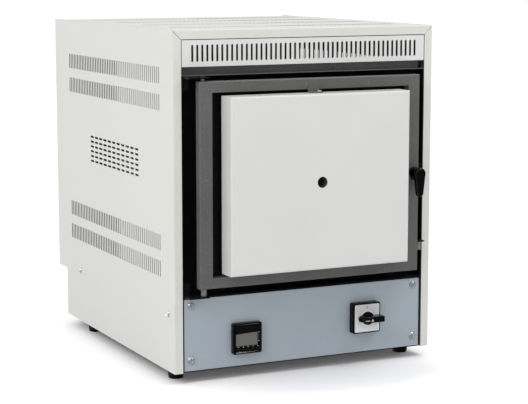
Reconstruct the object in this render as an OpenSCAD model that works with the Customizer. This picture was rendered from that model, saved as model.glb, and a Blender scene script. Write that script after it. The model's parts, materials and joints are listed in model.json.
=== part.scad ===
// Bench-top muffle furnace for a dental laboratory, in millimetres, +Z up.
// The origin is on the table, under the middle of the furnace's outline.
// Inside this file every piece is placed in casing coordinates: X from the middle, Y back from
// the plane of the front flanges, and Z up from the underside of the casing. seat() moves them.

/* [Casing] */
// Width over the side panels
case_w = 440; // [425:1:520]
// Height of the casing without its feet
case_h = 512; // [500:1:560]
// Depth of the side panels above the step
upper_d = 526; // [515:1:620]
// Depth of the step under the rear duct
step_d = 42; // [34:1:50]
// Depth of the slotted strip on top of the rear duct
duct_d = 49; // [46:1:60]
// Height of the step below the rear duct
step_z = 81; // [70:1:100]
// Thickness of the sheet steel
sheet = 1.2; // [0.8:0.1:1.5]
// Outside radius of the folded front edges
bend_r = 2; // [1.6:0.1:3]
// Width of the flange round the front
flange_w = 14; // [12:0.5:18]
// Depth of the inward return of that flange
return_d = 11; // [8:0.5:14]
// Width of the flanges at the back edges
rear_flange_w = 14; // [12:0.5:20]
// Gap between sheets that slot together
fit_gap = 0.3; // [0.1:0.05:0.5]
// Open seam between the top cover and the side panels
seam = 0.8; // [0.3:0.1:0.9]
// Visible joint round the front panels
joint_gap = 1.2; // [0.6:0.1:1.4]
// Height of the rubber feet
foot_h = 18; // [12:0.5:24]
// Radius of a foot at the floor
foot_r = 11.5; // [10:0.5:13]
// Radius of a foot at the casing
foot_top_r = 13.5; // [13:0.5:16]
// Distance of the feet from the side of the casing
foot_inset_x = 23; // [18:1:40]
// Distance of the front feet from the front
foot_inset_y = 50; // [30:1:70]
// Distance of the rear feet from the back of the tray
rear_foot_inset = 78; // [30:1:100]

/* [Vent slots] */
// Width of a slot
slot_w = 3.5; // [2:0.5:4]
// Length of a slot
slot_l = 25; // [18:0.5:28]
// Spacing of the slots in a row
slot_pitch = 8; // [6:0.5:12]
// Height of the vent strip above the door
strip_h = 39; // [34:0.5:48]
// Plain border at both ends of a front or top row
strip_border = 15; // [10:1:40]
// Depth of the folded edges of the vent strip
strip_return = 9; // [5:0.5:11]
// Centre height of the upper pair of side rows
side_row_top = 423; // [410:1:430]
// Centre height of the lower pair of side rows
side_row_low = 172; // [160:1:190]
// Spacing of the two rows of a pair
side_row_pitch = 40; // [34:1:50]
// Distance from the front to the first side slot
side_row_start = 53; // [40:1:80]
// Distance from the last side slot to the back
side_row_end = 73; // [60:1:120]
// Middle of the first row of slots in the top
top_row_start = 74; // [50:1:90]
// Distance from the last row to the back of the top
top_row_end = 61; // [40:1:80]
// Number of rows of slots in the top
top_rows = 4; // [2:1:6]
// Columns of the plain slot field in the side
field_cols = 11; // [5:1:12]
// Rows of the plain slot field in the side
field_rows = 6; // [3:1:7]
// Length of a slot in the plain field
field_slot_l = 15; // [10:0.5:16]
// Column spacing of the plain field
field_pitch_y = 20; // [18:0.5:24]
// Row spacing of the plain field
field_pitch_z = 8; // [6:0.5:10]

/* [Front] */
// Height of the blue-grey control panel
panel_h = 110.5; // [104:0.5:116]
// Thickness of the control panel
panel_t = 2; // [1.5:0.5:3]
// Setback of the control panel from the flange
panel_back = 2.4; // [1:0.2:4]
// Height of the plain edge below the control panel
panel_low = 2; // [1.4:0.2:4]
// Height of the dark rail above the door
header_h = 13; // [10:0.5:18]
// Setback of the dark rail above the door
header_back = 12; // [10.6:0.2:16]
// Depth of the recess round the door
recess_d = 22; // [20:0.5:28]
// Distance of the panel screws from the panel's edge
panel_screw_x = 11; // [9:0.5:14]
// Height of the lower panel screws
panel_screw_low = 18; // [12:0.5:24]
// Height of the upper panel screws
panel_screw_top = 101; // [90:0.5:103]

/* [Door] */
// Gap from the recess wall to the door frame at the sides
door_gap_x = 20; // [16:0.5:24]
// Gap from the header down to the door frame
door_gap_top = 7; // [5.5:0.5:10]
// Gap from the sill up to the door frame
door_gap_low = 13.5; // [10:0.5:18]
// Distance that the door frame stands in front of the flanges
door_out = 21; // [19:0.5:26]
// Depth of the folded door frame
frame_d = 14; // [12.5:0.5:15.5]
// Width of the upright stiles of the door frame
stile_w = 20; // [18:0.5:24]
// Height of the rails of the door frame
rail_w = 16.5; // [15:0.5:20]
// Gap from the door frame to the cover at the sides
cover_gap_x = 16; // [10:0.5:24]
// Gap from the door frame to the cover above and below
cover_gap_z = 5; // [4:0.5:12]
// Depth of the box-shaped door cover
cover_d = 35; // [30:0.5:45]
// How far the cover reaches back into the door frame
cover_in = 3; // [1:0.5:4]
// Outside radius of the edges of the cover
cover_r = 3; // [2:0.5:5]
// Width of the folded rim at the back of the cover
cover_rim_w = 9; // [6:0.5:14]
// Radius of the peephole
peep_r = 8.5; // [6:0.5:10]
// Wall of the sight tube
sight_wall = 1.5; // [1:0.25:3]
// Depth of the insulated pan behind the door frame
pan_d = 24; // [20:0.5:25]
// Distance from the hinge line to the edge of the door frame
hinge_inset = 8; // [6:0.5:9]
// Radius of the hinge pins
pin_r = 2.75; // [2:0.25:3]
// Radial clearance of a turning pin or spindle
pin_fit = 0.05; // [0.02:0.01:0.1]
// Thickness of the hinge brackets
ear_t = 2.5; // [2:0.25:3]
// Height of the upright leg of a hinge bracket
ear_leg_h = 21; // [14:0.5:28]
// Thickness of the tabs that hold the cover
tab_t = 1.5; // [1:0.25:2]
// Half width of the tabs that hold the cover
tab_half_w = 9.5; // [8:0.5:14]

/* [Latch handle] */
// Distance of the spindle from the edge of the door frame
spindle_inset = 10; // [9.5:0.1:10.4]
// Radius of the spindle
spindle_r = 4; // [3:0.25:4.5]
// Radius of the handle's hub
hub_r = 9; // [8:0.5:10]
// Length of the hub in front of the door frame
hub_l = 15; // [12:0.5:20]
// Thickness of the lever
lever_t = 10; // [7:0.5:12]
// Distance from the spindle to the lever's tip
lever_l = 36; // [28:0.5:44]
// Radius of the lever's tip
lever_tip_r = 5.5; // [3.5:0.5:6.5]
// Length of the latch cam
cam_l = 23.5; // [22:0.25:24]
// Thickness of the latch cam
cam_t = 3; // [2:0.5:4]
// Free play between the cam and its keeper
cam_gap = 1; // [0.5:0.1:1.5]

/* [Chamber] */
// Inner width of the chamber
chamber_w = 200; // [160:1:220]
// Inner height of the chamber
chamber_h = 133; // [110:1:150]
// Inner depth of the muffle
muffle_d = 296; // [240:1:320]
// Wall of the muffle
muffle_wall = 8; // [6:0.5:10]
// Thickness of the insulation round the muffle
insulation_t = 46; // [35:1:52]
// Thickness of the insulation behind the muffle
insulation_back_t = 56; // [45:1:60]
// Thickness of the collar behind the front plate
collar_t = 12; // [10:0.5:16]
// Width of the rim of insulation shown round the mouth
collar_rim = 41; // [30:1:44]
// Thickness of the hearth plate
hearth_t = 8; // [5:0.5:12]
// Depth of the door plug
plug_d = 30; // [20:0.5:36]
// Least gap between the swinging plug and the mouth
plug_gap = 1.5; // [1:0.1:4]
// Radius of the heating wire
wire_r = 1.5; // [1:0.1:1.8]
// Spacing of the turns
turn_pitch = 12; // [8:0.5:12]
// Outer radius of the vent tube
vent_r = 10; // [8:0.5:12]
// Bore radius of the vent tube
vent_bore_r = 6; // [4:0.5:7]
// Radius of the thermocouple's sheath
probe_r = 4; // [3:0.25:5]
// Length of the thermocouple inside the chamber
probe_in = 30; // [15:1:45]

/* [Controls] */
// Height and width of the temperature controller
ctl_size = 48; // [46:0.5:52]
// Distance of the controller to the left of the middle
ctl_x = 102; // [90:1:120]
// Centre height of the controller
ctl_z = 45; // [42:0.5:60]
// Distance that the controller stands proud of its panel
ctl_out = 9; // [7:0.5:12]
// Depth of the controller case behind the panel
ctl_case_d = 90; // [60:1:100]
// Width of a controller key
key_w = 6.4; // [5:0.2:7]
// Height of a controller key
key_h = 4.4; // [3.6:0.2:5]
// Spacing of the controller keys
key_pitch = 8.2; // [7.8:0.1:8.6]
// Travel of a controller key
key_travel = 0.6; // [0.3:0.1:0.8]
// Height and width of the main switch
sw_size = 48; // [44:0.5:52]
// Distance of the main switch to the right of the middle
sw_x = 102; // [90:1:120]
// Centre height of the main switch
sw_z = 58; // [50:0.5:62]
// Thickness of the main switch's bezel
sw_out = 13; // [9:0.5:15]
// Radius of the round hub of the switch knob
knob_hub_r = 10.5; // [9:0.5:12]
// Reach of the knob's grip from the middle
knob_l = 22.5; // [20:0.5:28]
// Reach of the knob's tail from the middle
knob_tail = 16; // [14:0.5:20]
// Width of the knob's grip
knob_w = 9.5; // [8:0.5:12]
// Width of the black rim round the legend plate
sw_rim = 2.2; // [1.8:0.2:4]
// Distance that the knob stands in front of the bezel
knob_out = 17; // [14:0.5:24]

// Width of the solid state relay
relay_w = 45; // [40:1:60]
// Height of the solid state relay
relay_h = 58; // [50:1:60]
// Thickness of the solid state relay
relay_t = 22; // [18:1:24]
// Height of the relay above the foot of the heat sink
relay_lift = 12; // [6:1:14]
// Distance of the heat sink from the back of the tray
sink_rear = 154; // [150:1:180]
// Width of the heat sink
sink_w = 100; // [80:1:120]
// Height of the heat sink
sink_h = 80; // [62:1:90]
// Depth of the fins of the heat sink
fin_d = 30; // [20:1:40]
// Spacing of the fins
fin_pitch = 9; // [6:0.5:12]
// Distance of the cable gland and the terminal block from the right side
gland_in = 70; // [66:1:90]
// Bore radius of the cable gland
gland_bore_r = 5; // [4:0.25:6]
// Distance of the earth stud from the right side
earth_in = 120; // [112:1:160]
// Height of the cable gland and the earth stud
inlet_z = 40; // [34:1:48]

/* [Screws] */
// Radius of a pan head
screw_head_r = 5.25; // [4:0.25:5.75]
// Height of a pan head
screw_head_h = 2.4; // [2:0.2:3]
// Radius of a screw shank
screw_r = 2.4; // [2:0.1:2.6]
// Radial clearance of a screw in its hole
screw_gap = 0.3; // [0.1:0.05:0.5]
// Height of the side screws
side_screw_z = 87.7; // [84:0.1:98]
// Distance of the front side screws from the front
side_screw_front = 24; // [20:0.5:40]
// Distance of the rear side screws from the back of the tray
side_screw_rear = 69.5; // [50:0.5:100]

/* [Hidden] */
$fn = 48;

// Casing
lower_d = upper_d - step_d;
top_d = upper_d - duct_d;
half_w = case_w / 2;
web_in = half_w - sheet;
back_x = web_in - 1.3;
top_fold_z = case_h - 12;
front_x = half_w - flange_w;
front_top = case_h - flange_w;
side_row_l = upper_d - side_row_start - side_row_end;
side_row_mid = side_row_start + side_row_l / 2;
top_row_pitch = (top_d - top_row_start - top_row_end) / (top_rows - 1);
rear_y = upper_d + sheet + screw_head_h;
cover_front_y = -door_out - cover_d + cover_in;
mid_y = (rear_y + cover_front_y) / 2;
rear_cover_top = case_h - 4;
rear_screw_x = half_w - rear_flange_w / 2 - 1;

// Front panels, from the top down
strip_x = front_x - joint_gap;
strip_top = front_top - joint_gap;
strip_low = strip_top - strip_h;
panel_x = strip_x - 2;
header_z = strip_low - joint_gap / 2 - header_h;
panel_top = panel_low + panel_h;
shelf_z = panel_top + 0.5;
sill_z = shelf_z + sheet + fit_gap;
sill_top = sill_z + sheet;
wall_x = front_x - fit_gap - joint_gap / 2;
wall_in = wall_x - sheet;

// Door frame and cover
frame_x = front_x - door_gap_x;
frame_low = sill_top + door_gap_low;
frame_top = header_z - door_gap_top;
frame_back = -door_out + frame_d;
window_x = frame_x - stile_w;
window_low = frame_low + rail_w;
window_top = frame_top - rail_w;
door_z = (frame_low + frame_top) / 2;
cover_x = window_x - cover_gap_x;
cover_low = window_low + cover_gap_z;
cover_top = window_top - cover_gap_z;
cover_back = -door_out + cover_in;
pan_gap_x = 4.5;
pan_gap_z = 4;
pan_x = window_x - pan_gap_x;
pan_low = window_low + pan_gap_z;
pan_top = window_top - pan_gap_z;
pan_back = frame_back + pan_d;
hinge_x = frame_x - hinge_inset;
hinge_y = -door_out + frame_d / 2;

// Chamber
mouth_x = chamber_w / 2;
mouth_z = chamber_h / 2;
plate_back = recess_d + sheet;
muffle_front = plate_back + collar_t;
muffle_back = muffle_front + muffle_d + muffle_wall;
wire_room = 2 * wire_r;
muffle_r = 12;
hollow_x = mouth_x + muffle_wall + wire_room;
hollow_z = mouth_z + muffle_wall + wire_room;
insul_x = hollow_x + insulation_t;
insul_z = hollow_z + insulation_t;
insul_back = muffle_back + insulation_back_t;
jacket_x = insul_x + sheet;
jacket_z = insul_z + sheet;
collar_x = mouth_x + collar_rim;
collar_z = mouth_z + collar_rim;
vent_z = door_z + mouth_z / 2;
probe_x = mouth_x * 0.6;
probe_z = door_z + mouth_z - 3 * probe_r;

tab_l = 14;
tab_lap = 5;
cover_screw_x = 6;
cover_screw_y = -door_out - 8;
cover_screw_r = 1.5;
cover_hole_r = cover_screw_r + 0.2;

// Latch
spindle_x = frame_x - spindle_inset;
keeper_y = 0;
cam_y = keeper_y + cam_gap;
lever_y = -door_out - hub_l;

// Controls
panel_back_y = panel_back + panel_t;
keys_up = 6.6;
keys_z = ctl_z - ctl_size / 2 + keys_up;
lcd_h = 30;
lcd_w = 36.4;
lcd_down = 5.5;
lcd_shift = 1.5;
lcd_z = ctl_z + ctl_size / 2 - lcd_down - lcd_h / 2;
lcd_x = -ctl_x - lcd_shift;
shaft_r = 4;
gland_r = 8;
earth_r = 3;
earth_x = half_w - earth_in;
gland_x = half_w - gland_in;
sink_y = lower_d - sink_rear;
terminal_w = 80;
terminal_d = 24;
terminal_h = 26;
terminal_y = lower_d - 40;
switch_stack = 43;
probe_head_l = 34;
probe_head_r = 12;

// Feet, rails and heater leads
foot_screw_r = 2.5;
foot_x = half_w - foot_inset_x;
foot_y = [foot_inset_y, lower_d - rear_foot_inset];
lead_gap = 0.2;
lead_x = hollow_x - wire_r - lead_gap;
lead_z = door_z - hollow_z + wire_r + lead_gap;
handle_z = door_z + 2;
switch_tongue_z = frame_low + 44;

// Places a piece given in casing coordinates
module seat() {
  translate([0, -mid_y, foot_h]) children();
}

// Box between two corners
module box(lo, hi) {
  translate(lo) cube(hi - lo);
}

// Outline drawn in X and Z, made into a plate from y0 backwards
module plate_xz(y0, t) {
  translate([0, y0 + t, 0]) rotate([90, 0, 0]) linear_extrude(t) children();
}

// Outline drawn in Y and Z, made into a plate from x0 to the right
module plate_yz(x0, t) {
  translate([x0, 0, 0]) rotate([90, 0, 90]) linear_extrude(t) children();
}

// Outline drawn in X and Y, made into a plate from z0 upwards
module plate_xy(z0, t) {
  translate([0, 0, z0]) linear_extrude(t) children();
}

// Rectangle between two corners
module rect(lo, hi) {
  translate(lo) square(hi - lo);
}

// Rectangle with round corners, about the origin
module round_rect(w, h, r) {
  square([w, h - 2 * r], center = true);
  square([w - 2 * r, h], center = true);
  for (x = [-1, 1])
    for (y = [-1, 1])
      translate([x * (w / 2 - r), y * (h / 2 - r)]) circle(r);
}

// Round cylinder along Y from y0 to y1
module round_y(x, z, y0, y1, r) {
  translate([x, y1, z]) rotate([90, 0, 0]) cylinder(h = y1 - y0, r = r);
}

// Upright slot with round ends, about the origin
module slot(w, l) {
  square([w, l - w], center = true);
  for (s = [-1, 1])
    translate([0, s * (l - w) / 2]) circle(w / 2, $fn = 16);
}

// Row of upright slots that fits in a length, about the origin
module slot_row(length) {
  count = floor(length / slot_pitch) + 1;
  for (i = [0 : count - 1])
    translate([(i - (count - 1) / 2) * slot_pitch, 0]) slot(slot_w, slot_l);
}

// Plain rectangular field of short level slots, about the origin
module slot_field() {
  for (c = [0 : field_cols - 1])
    for (r = [0 : field_rows - 1])
      translate([(c - (field_cols - 1) / 2) * field_pitch_y, (r - (field_rows - 1) / 2) * field_pitch_z])
        rotate(90) slot(slot_w, field_slot_l);
}

// What is cut away to round a square edge that runs along Z at the origin
module edge_round(r, length) {
  difference() {
    translate([-1, -1, 0]) cube([r + 1, r + 1, length]);
    translate([r, r, -1]) cylinder(h = length + 2, r = r);
  }
}

// Pan-head screw with a washer face and a cross recess; the shank points up from z = 0
module pan_screw(shank_l) {
  difference() {
    intersection() {
      translate([0, 0, -screw_head_h]) cylinder(h = screw_head_h, r = screw_head_r);
      translate([0, 0, 6 - screw_head_h]) sphere(r = 6);
    }
    for (a = [0, 90])
      rotate(a) box([-2.2, -0.4, -screw_head_h - 1], [2.2, 0.4, -screw_head_h + 1.2]);
  }
  cylinder(h = shank_l, r = screw_r);
}

// Screw places: on the front panel, in the sides and in the back
module at_panel_screws() {
  for (x = [-1, 1])
    for (z = [panel_screw_low, panel_screw_top])
      translate([x * (panel_x - panel_screw_x), panel_back, z]) rotate([-90, 0, 0]) children();
}

module at_side_screws(side) {
  for (y = [side_screw_front, lower_d - side_screw_rear])
    translate([side * half_w, y, side_screw_z]) rotate([0, -90 * side, 0]) children();
}

module at_rear_screws() {
  for (x = [-1, 1]) {
    for (z = [step_z + 16, (step_z + rear_cover_top) / 2, rear_cover_top - 16])
      translate([x * rear_screw_x, upper_d + sheet, z]) rotate([90, 0, 0]) children();
    for (z = [16, step_z - 14])
      translate([x * rear_screw_x, lower_d + sheet, z]) rotate([90, 0, 0]) children();
  }
}

module at_feet() {
  for (x = [-foot_x, foot_x])
    for (y = foot_y)
      translate([x, y, 0]) children();
}

// Clearance hole for a case screw; bores through the sheets behind the head
module screw_hole() {
  translate([0, 0, -1]) cylinder(h = 12, r = screw_r + screw_gap);
}

// Left side panel with its front flange, its return, its back flanges and the ledge for the top
module side_panel() {
  ledge_w = 12;
  rows = [side_row_top, side_row_low];
  difference() {
    union() {
      plate_yz(-half_w, sheet) difference() {
        polygon([
          [0, 0], [lower_d, 0], [lower_d, step_z], [upper_d, step_z], [upper_d, case_h], [0, case_h]
        ]);
        for (z = rows)
          for (s = [-1, 1])
            translate([side_row_mid, z + s * side_row_pitch / 2]) slot_row(side_row_l);
        translate([side_row_mid - 7, (side_row_top + side_row_low) / 2 + 6]) slot_field();
      }
      box([-half_w, 0, 0], [-front_x, sheet, case_h]);
      box([-front_x - sheet, 0, 0], [-front_x, return_d, front_top]);
      box([-half_w, lower_d - sheet, 0], [-half_w + rear_flange_w, lower_d, step_z]);
      box([-half_w, upper_d - sheet, step_z], [-half_w + rear_flange_w, upper_d, rear_cover_top - 3]);
      box([-half_w, return_d + 5, top_fold_z - sheet], [-half_w + ledge_w, top_d - 5, top_fold_z]);
    }
    translate([-half_w, 0, -1]) edge_round(bend_r, case_h + 2);
    plate_xz(-1, sheet + fit_gap + 1)
      polygon([
        [-half_w - 1, case_h + 1 - seam], [-front_x + 1, front_top - 1 - seam],
        [-front_x + 1, case_h + 1], [-half_w - 1, case_h + 1]
      ]);
    at_side_screws(-1) screw_hole();
    at_rear_screws() screw_hole();
  }
}

module side_panel_left() {
  color("gainsboro") seat() side_panel();
}

module side_panel_right() {
  color("gainsboro") seat() mirror([1, 0, 0]) side_panel();
}

// Top cover: plate with rows of slots, mitred front flange and folded side edges
module top_cover() {
  edge_x = web_in - seam;
  color("gainsboro") seat() difference() {
    union() {
      plate_xy(case_h - sheet, sheet) difference() {
        rect([-edge_x, sheet], [edge_x, top_d]);
        for (i = [0 : top_rows - 1])
          translate([0, top_row_start + i * top_row_pitch]) slot_row(2 * (strip_x - strip_border));
      }
      plate_xz(0, sheet)
        polygon([[-half_w, case_h], [half_w, case_h], [front_x, front_top], [-front_x, front_top]]);
      box([-front_x + fit_gap, 0, front_top], [front_x - fit_gap, return_d, front_top + sheet]);
      box([-edge_x, 3, top_fold_z], [-edge_x + sheet, top_d, case_h]);
      box([edge_x - sheet, 3, top_fold_z], [edge_x, top_d, case_h]);
      box([-edge_x, top_d - sheet, top_fold_z], [edge_x, top_d, case_h]);
    }
    translate([-half_w - 1, 0, case_h]) rotate([0, 90, 0]) edge_round(bend_r, case_w + 2);
  }
}

// Perforated strip above the door, with folded edges and an ear behind the flange at each end
module vent_strip() {
  color("whitesmoke") seat() union() {
    plate_xz(0, sheet) difference() {
      rect([-strip_x, strip_low], [strip_x, strip_top]);
      translate([0, (strip_low + strip_top) / 2]) slot_row(2 * (strip_x - strip_border));
    }
    for (z = [strip_low, strip_top - sheet])
      box([-strip_x, 0, z], [strip_x, strip_return, z + sheet]);
    for (s = [0, 1])
      mirror([s, 0, 0]) {
        box([-strip_x, 0, strip_low], [-strip_x + sheet, return_d + sheet, strip_top]);
        box([-strip_x - 4, return_d, strip_low + 2], [-strip_x, return_d + sheet, strip_top - 2]);
      }
  }
}

// Rear duct cover: back plate, slotted top edge and bottom edge over the step
module rear_cover() {
  low_x = half_w - rear_flange_w - 1;
  low_z = step_z + 2;
  color("gainsboro") seat() difference() {
    union() {
      box([-back_x, upper_d, low_z], [back_x, upper_d + sheet, rear_cover_top]);
      plate_xy(rear_cover_top - sheet, sheet) difference() {
        rect([-back_x, top_d + joint_gap], [back_x, upper_d + sheet]);
        translate([0, (top_d + upper_d) / 2]) slot_row(2 * (strip_x - strip_border));
      }
      box([-low_x, lower_d + sheet + fit_gap, low_z], [low_x, upper_d + sheet, low_z + sheet]);
    }
    at_rear_screws() screw_hole();
    round_y(0, vent_z, upper_d - 5, upper_d + 5, vent_r + fit_gap);
  }
}

// Panel at the back of the electrical compartment
module rear_panel() {
  color("gainsboro") seat() difference() {
    box([-back_x, lower_d, 2], [back_x, lower_d + sheet, step_z + 1]);
    at_rear_screws() screw_hole();
    round_y(gland_x, inlet_z, lower_d - 5, lower_d + 5, gland_r + fit_gap);
    round_y(earth_x, inlet_z, lower_d - 5, lower_d + 5, earth_r + fit_gap);
  }
}

// Chassis tray of the electrical compartment, with side walls and front posts
module base_tray() {
  wall_y = return_d + fit_gap;
  back_y = lower_d - sheet - fit_gap;
  post_x = front_x - sheet - joint_gap;
  post_in = post_x - 2 * panel_screw_x;
  color("silver") seat() difference() {
    union() {
      box([-web_in, wall_y, 0], [web_in, back_y, sheet]);
      box([-post_x, panel_back_y, 0], [post_x, wall_y + sheet, sheet]);
      for (s = [0, 1])
        mirror([s, 0, 0]) {
          box([-web_in, wall_y, 0], [-web_in + sheet, back_y, shelf_z]);
          box([-web_in, wall_y, 0], [-post_x + sheet, wall_y + sheet, shelf_z]);
          box([-post_x, panel_back_y, 0], [-post_x + sheet, wall_y + sheet, shelf_z]);
          box([-post_x, panel_back_y, 0], [-post_in, panel_back_y + sheet, shelf_z]);
        }
    }
    at_panel_screws() screw_hole();
    for (s = [-1, 1])
      at_side_screws(s) screw_hole();
    at_feet() translate([0, 0, -1]) cylinder(h = 5, r = foot_screw_r + screw_gap);
  }
}

// Shelf between the electrical compartment and the heated part
module divider_shelf() {
  color("silver") seat()
    box([-web_in, return_d + fit_gap, shelf_z], [web_in, lower_d - sheet - fit_gap, shelf_z + sheet]);
}

// Blue-grey control panel with cut-outs for the controller and the switch
module control_panel() {
  cut = ctl_size - 2.6;
  color("lightslategray") seat() difference() {
    box([-panel_x, panel_back, panel_low], [panel_x, panel_back_y, panel_top]);
    box([-ctl_x - cut / 2, 0, ctl_z - cut / 2], [-ctl_x + cut / 2, 20, ctl_z + cut / 2]);
    round_y(sw_x, sw_z, 0, 20, shaft_r + 1);
    at_panel_screws() screw_hole();
  }
}

// Black plate behind the door, with the opening for the mouth collar
module front_plate() {
  hole_x = collar_x + fit_gap;
  hole_z = collar_z + fit_gap;
  color("dimgray") seat() difference() {
    box([-wall_x, recess_d, sill_z], [wall_x, plate_back, header_z + header_h]);
    box([-hole_x, 0, door_z - hole_z], [hole_x, 60, door_z + hole_z]);
  }
}

// Black rail and lip above the door
module door_header() {
  rail_x = strip_x - 2 * joint_gap;
  color("dimgray") seat() union() {
    box([-strip_x, 0, header_z], [strip_x, recess_d, header_z + sheet]);
    box([-rail_x, header_back, header_z], [rail_x, header_back + sheet, header_z + header_h]);
  }
}

// Black sill below the door
module door_sill() {
  color("dimgray") seat() union() {
    box([-strip_x, 0, sill_z], [strip_x, recess_d, sill_top]);
    box([-strip_x, 0, sill_z - 2 * sheet], [strip_x, sheet, sill_z]);
  }
}

// Black side walls of the recess round the door
module recess_sides() {
  color("dimgray") seat()
    for (s = [0, 1])
      mirror([s, 0, 0]) {
        box([-wall_x, 1.5, sill_top], [-wall_in, recess_d, header_z]);
        box([-wall_x, recess_d - sheet, sill_top], [-wall_x + 15, recess_d, header_z]);
      }
}

// One hinge bracket, drawn as the upper one, with its top at z = 0
module hinge_bracket() {
  ear_front = hinge_y - hinge_inset;
  difference() {
    union() {
      box([-wall_in, ear_front, -ear_t], [-hinge_x + hinge_inset, recess_d - 4, 0]);
      box([-wall_in, 0, -ear_leg_h], [-wall_in + ear_t, recess_d - 4, 0]);
      box([-wall_in, 0, -ear_leg_h], [-wall_in + 10, ear_t, 0]);
    }
    translate([-hinge_x, hinge_y, -ear_t - 1]) cylinder(h = ear_t + 2, r = pin_r);
    translate([-hinge_x + hinge_inset, ear_front, -ear_t - 1]) rotate(90) edge_round(3, ear_t + 2);
  }
}

module hinge_brackets() {
  color("dimgray") seat() {
    translate([0, 0, header_z - fit_gap]) hinge_bracket();
    translate([0, 0, sill_top + fit_gap]) mirror([0, 0, 1]) hinge_bracket();
  }
}

// Hinge pins; the lower one has the collar that carries the door
module hinge_pins() {
  ear_top = sill_top + fit_gap + ear_t;
  color("silver") seat() translate([-hinge_x, hinge_y, 0]) {
    translate([0, 0, frame_top - 10]) cylinder(h = header_z - fit_gap - frame_top + 10, r = pin_r);
    translate([0, 0, ear_top - ear_t]) cylinder(h = frame_low + 10 - ear_top + ear_t, r = pin_r);
    translate([0, 0, ear_top]) cylinder(h = frame_low - fit_gap - ear_top, r = pin_r + 1.5);
  }
}

// Keeper that the latch cam turns behind
module latch_keeper() {
  half_h = 11;
  color("dimgray") seat() union() {
    box([wall_in - 11, keeper_y - 2.5, handle_z - half_h], [wall_in, keeper_y, handle_z + half_h]);
    box([wall_in - 2, keeper_y - 2.5, handle_z - half_h], [wall_in, recess_d - sheet, handle_z + half_h]);
  }
}

// Door switch: small bracket with a hole in its face and the sensor behind it
module door_switch() {
  low = switch_tongue_z - 16;
  high = switch_tongue_z - 2;
  color("silver") seat() difference() {
    union() {
      box([wall_in - 13, -1, low], [wall_in, 0.5, high]);
      box([wall_in - 1.5, -1, low], [wall_in, recess_d - sheet, high]);
      box([wall_in - 11, 0.5, low + 1], [wall_in - 1.5, 14, high - 1]);
    }
    round_y(wall_in - 7, high - 4, -2, 3, 2);
  }
}

// Sealing rope round the mouth
module door_seal() {
  in_x = collar_x + 2;
  in_z = collar_z + 2;
  color("ivory") seat() translate([0, 0, door_z]) plate_xz(pan_back + fit_gap, recess_d - pan_back - fit_gap)
    difference() {
      round_rect(2 * in_x + 20, 2 * in_z + 20, 8);
      round_rect(2 * in_x, 2 * in_z, 4);
    }
}

// Front insulation: slab behind the front plate with a raised collar through it
module mouth_collar() {
  color("ivory") seat() difference() {
    union() {
      box([-collar_x, recess_d - 1.5, door_z - collar_z], [collar_x, plate_back + 1, door_z + collar_z]);
      box([-insul_x, plate_back, door_z - insul_z], [insul_x, muffle_front, door_z + insul_z]);
    }
    box([-mouth_x, 0, door_z - mouth_z], [mouth_x, muffle_front + 1, door_z + mouth_z]);
  }
}

// Sheet-steel jacket round the insulation
module inner_casing() {
  color("silver") seat() difference() {
    box([-jacket_x, plate_back, door_z - jacket_z], [jacket_x, insul_back, door_z + jacket_z]);
    box([-insul_x, 0, door_z - insul_z], [insul_x, insul_back + 1, door_z + insul_z]);
  }
}

// Back plate of the jacket, with holes for the vent tube and the thermocouple
module inner_casing_back() {
  color("silver") seat() difference() {
    box([-jacket_x, insul_back, door_z - jacket_z], [jacket_x, insul_back + sheet, door_z + jacket_z]);
    rear_bores(fit_gap);
  }
}

// Rails that carry the jacket on the shelf
module support_rails() {
  low = shelf_z + sheet;
  high = door_z - jacket_z;
  web_x = insul_x - 40;
  color("silver") seat()
    for (s = [0, 1])
      mirror([s, 0, 0]) difference() {
        box([-web_x, plate_back + 10, low], [-web_x + 30, insul_back, high]);
        box([-web_x + 2 * sheet, 0, low + 2 * sheet], [-web_x + 31, insul_back + 1, high - 2 * sheet]);
      }
}

// Outline of the hollow that holds the muffle and its winding
module muffle_hollow() {
  box([-hollow_x, 0, door_z - hollow_z], [hollow_x, muffle_back + fit_gap, door_z + hollow_z]);
}

// Lower and upper halves of the insulation, split at the middle of the chamber
module insulation_lower() {
  color("linen") seat() difference() {
    box([-insul_x, muffle_front, door_z - insul_z], [insul_x, muffle_back, door_z]);
    muffle_hollow();
  }
}

module insulation_upper() {
  color("linen") seat() difference() {
    box([-insul_x, muffle_front, door_z], [insul_x, muffle_back, door_z + insul_z]);
    muffle_hollow();
  }
}

// Holes through everything behind the chamber
module rear_bores(gap) {
  round_y(0, vent_z, muffle_back - 2 * muffle_wall, rear_y, vent_r + gap);
  round_y(probe_x, probe_z, muffle_back - 2 * muffle_wall, rear_y, probe_r + gap);
  for (s = [-1, 1])
    round_y(s * lead_x, lead_z, muffle_back, rear_y, wire_r + fit_gap);
}

module insulation_rear() {
  color("linen") seat() difference() {
    box([-insul_x, muffle_back, door_z - insul_z], [insul_x, insul_back, door_z + insul_z]);
    rear_bores(fit_gap);
  }
}

// Ceramic muffle, closed at the back
module muffle() {
  color("antiquewhite") seat() difference() {
    translate([0, 0, door_z]) plate_xz(muffle_front + fit_gap, muffle_back - muffle_front - fit_gap)
      round_rect(chamber_w + 2 * muffle_wall, chamber_h + 2 * muffle_wall, muffle_r);
    box([-mouth_x, 0, door_z - mouth_z], [mouth_x, muffle_back - muffle_wall, door_z + mouth_z]);
    rear_bores(0);
  }
}

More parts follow.
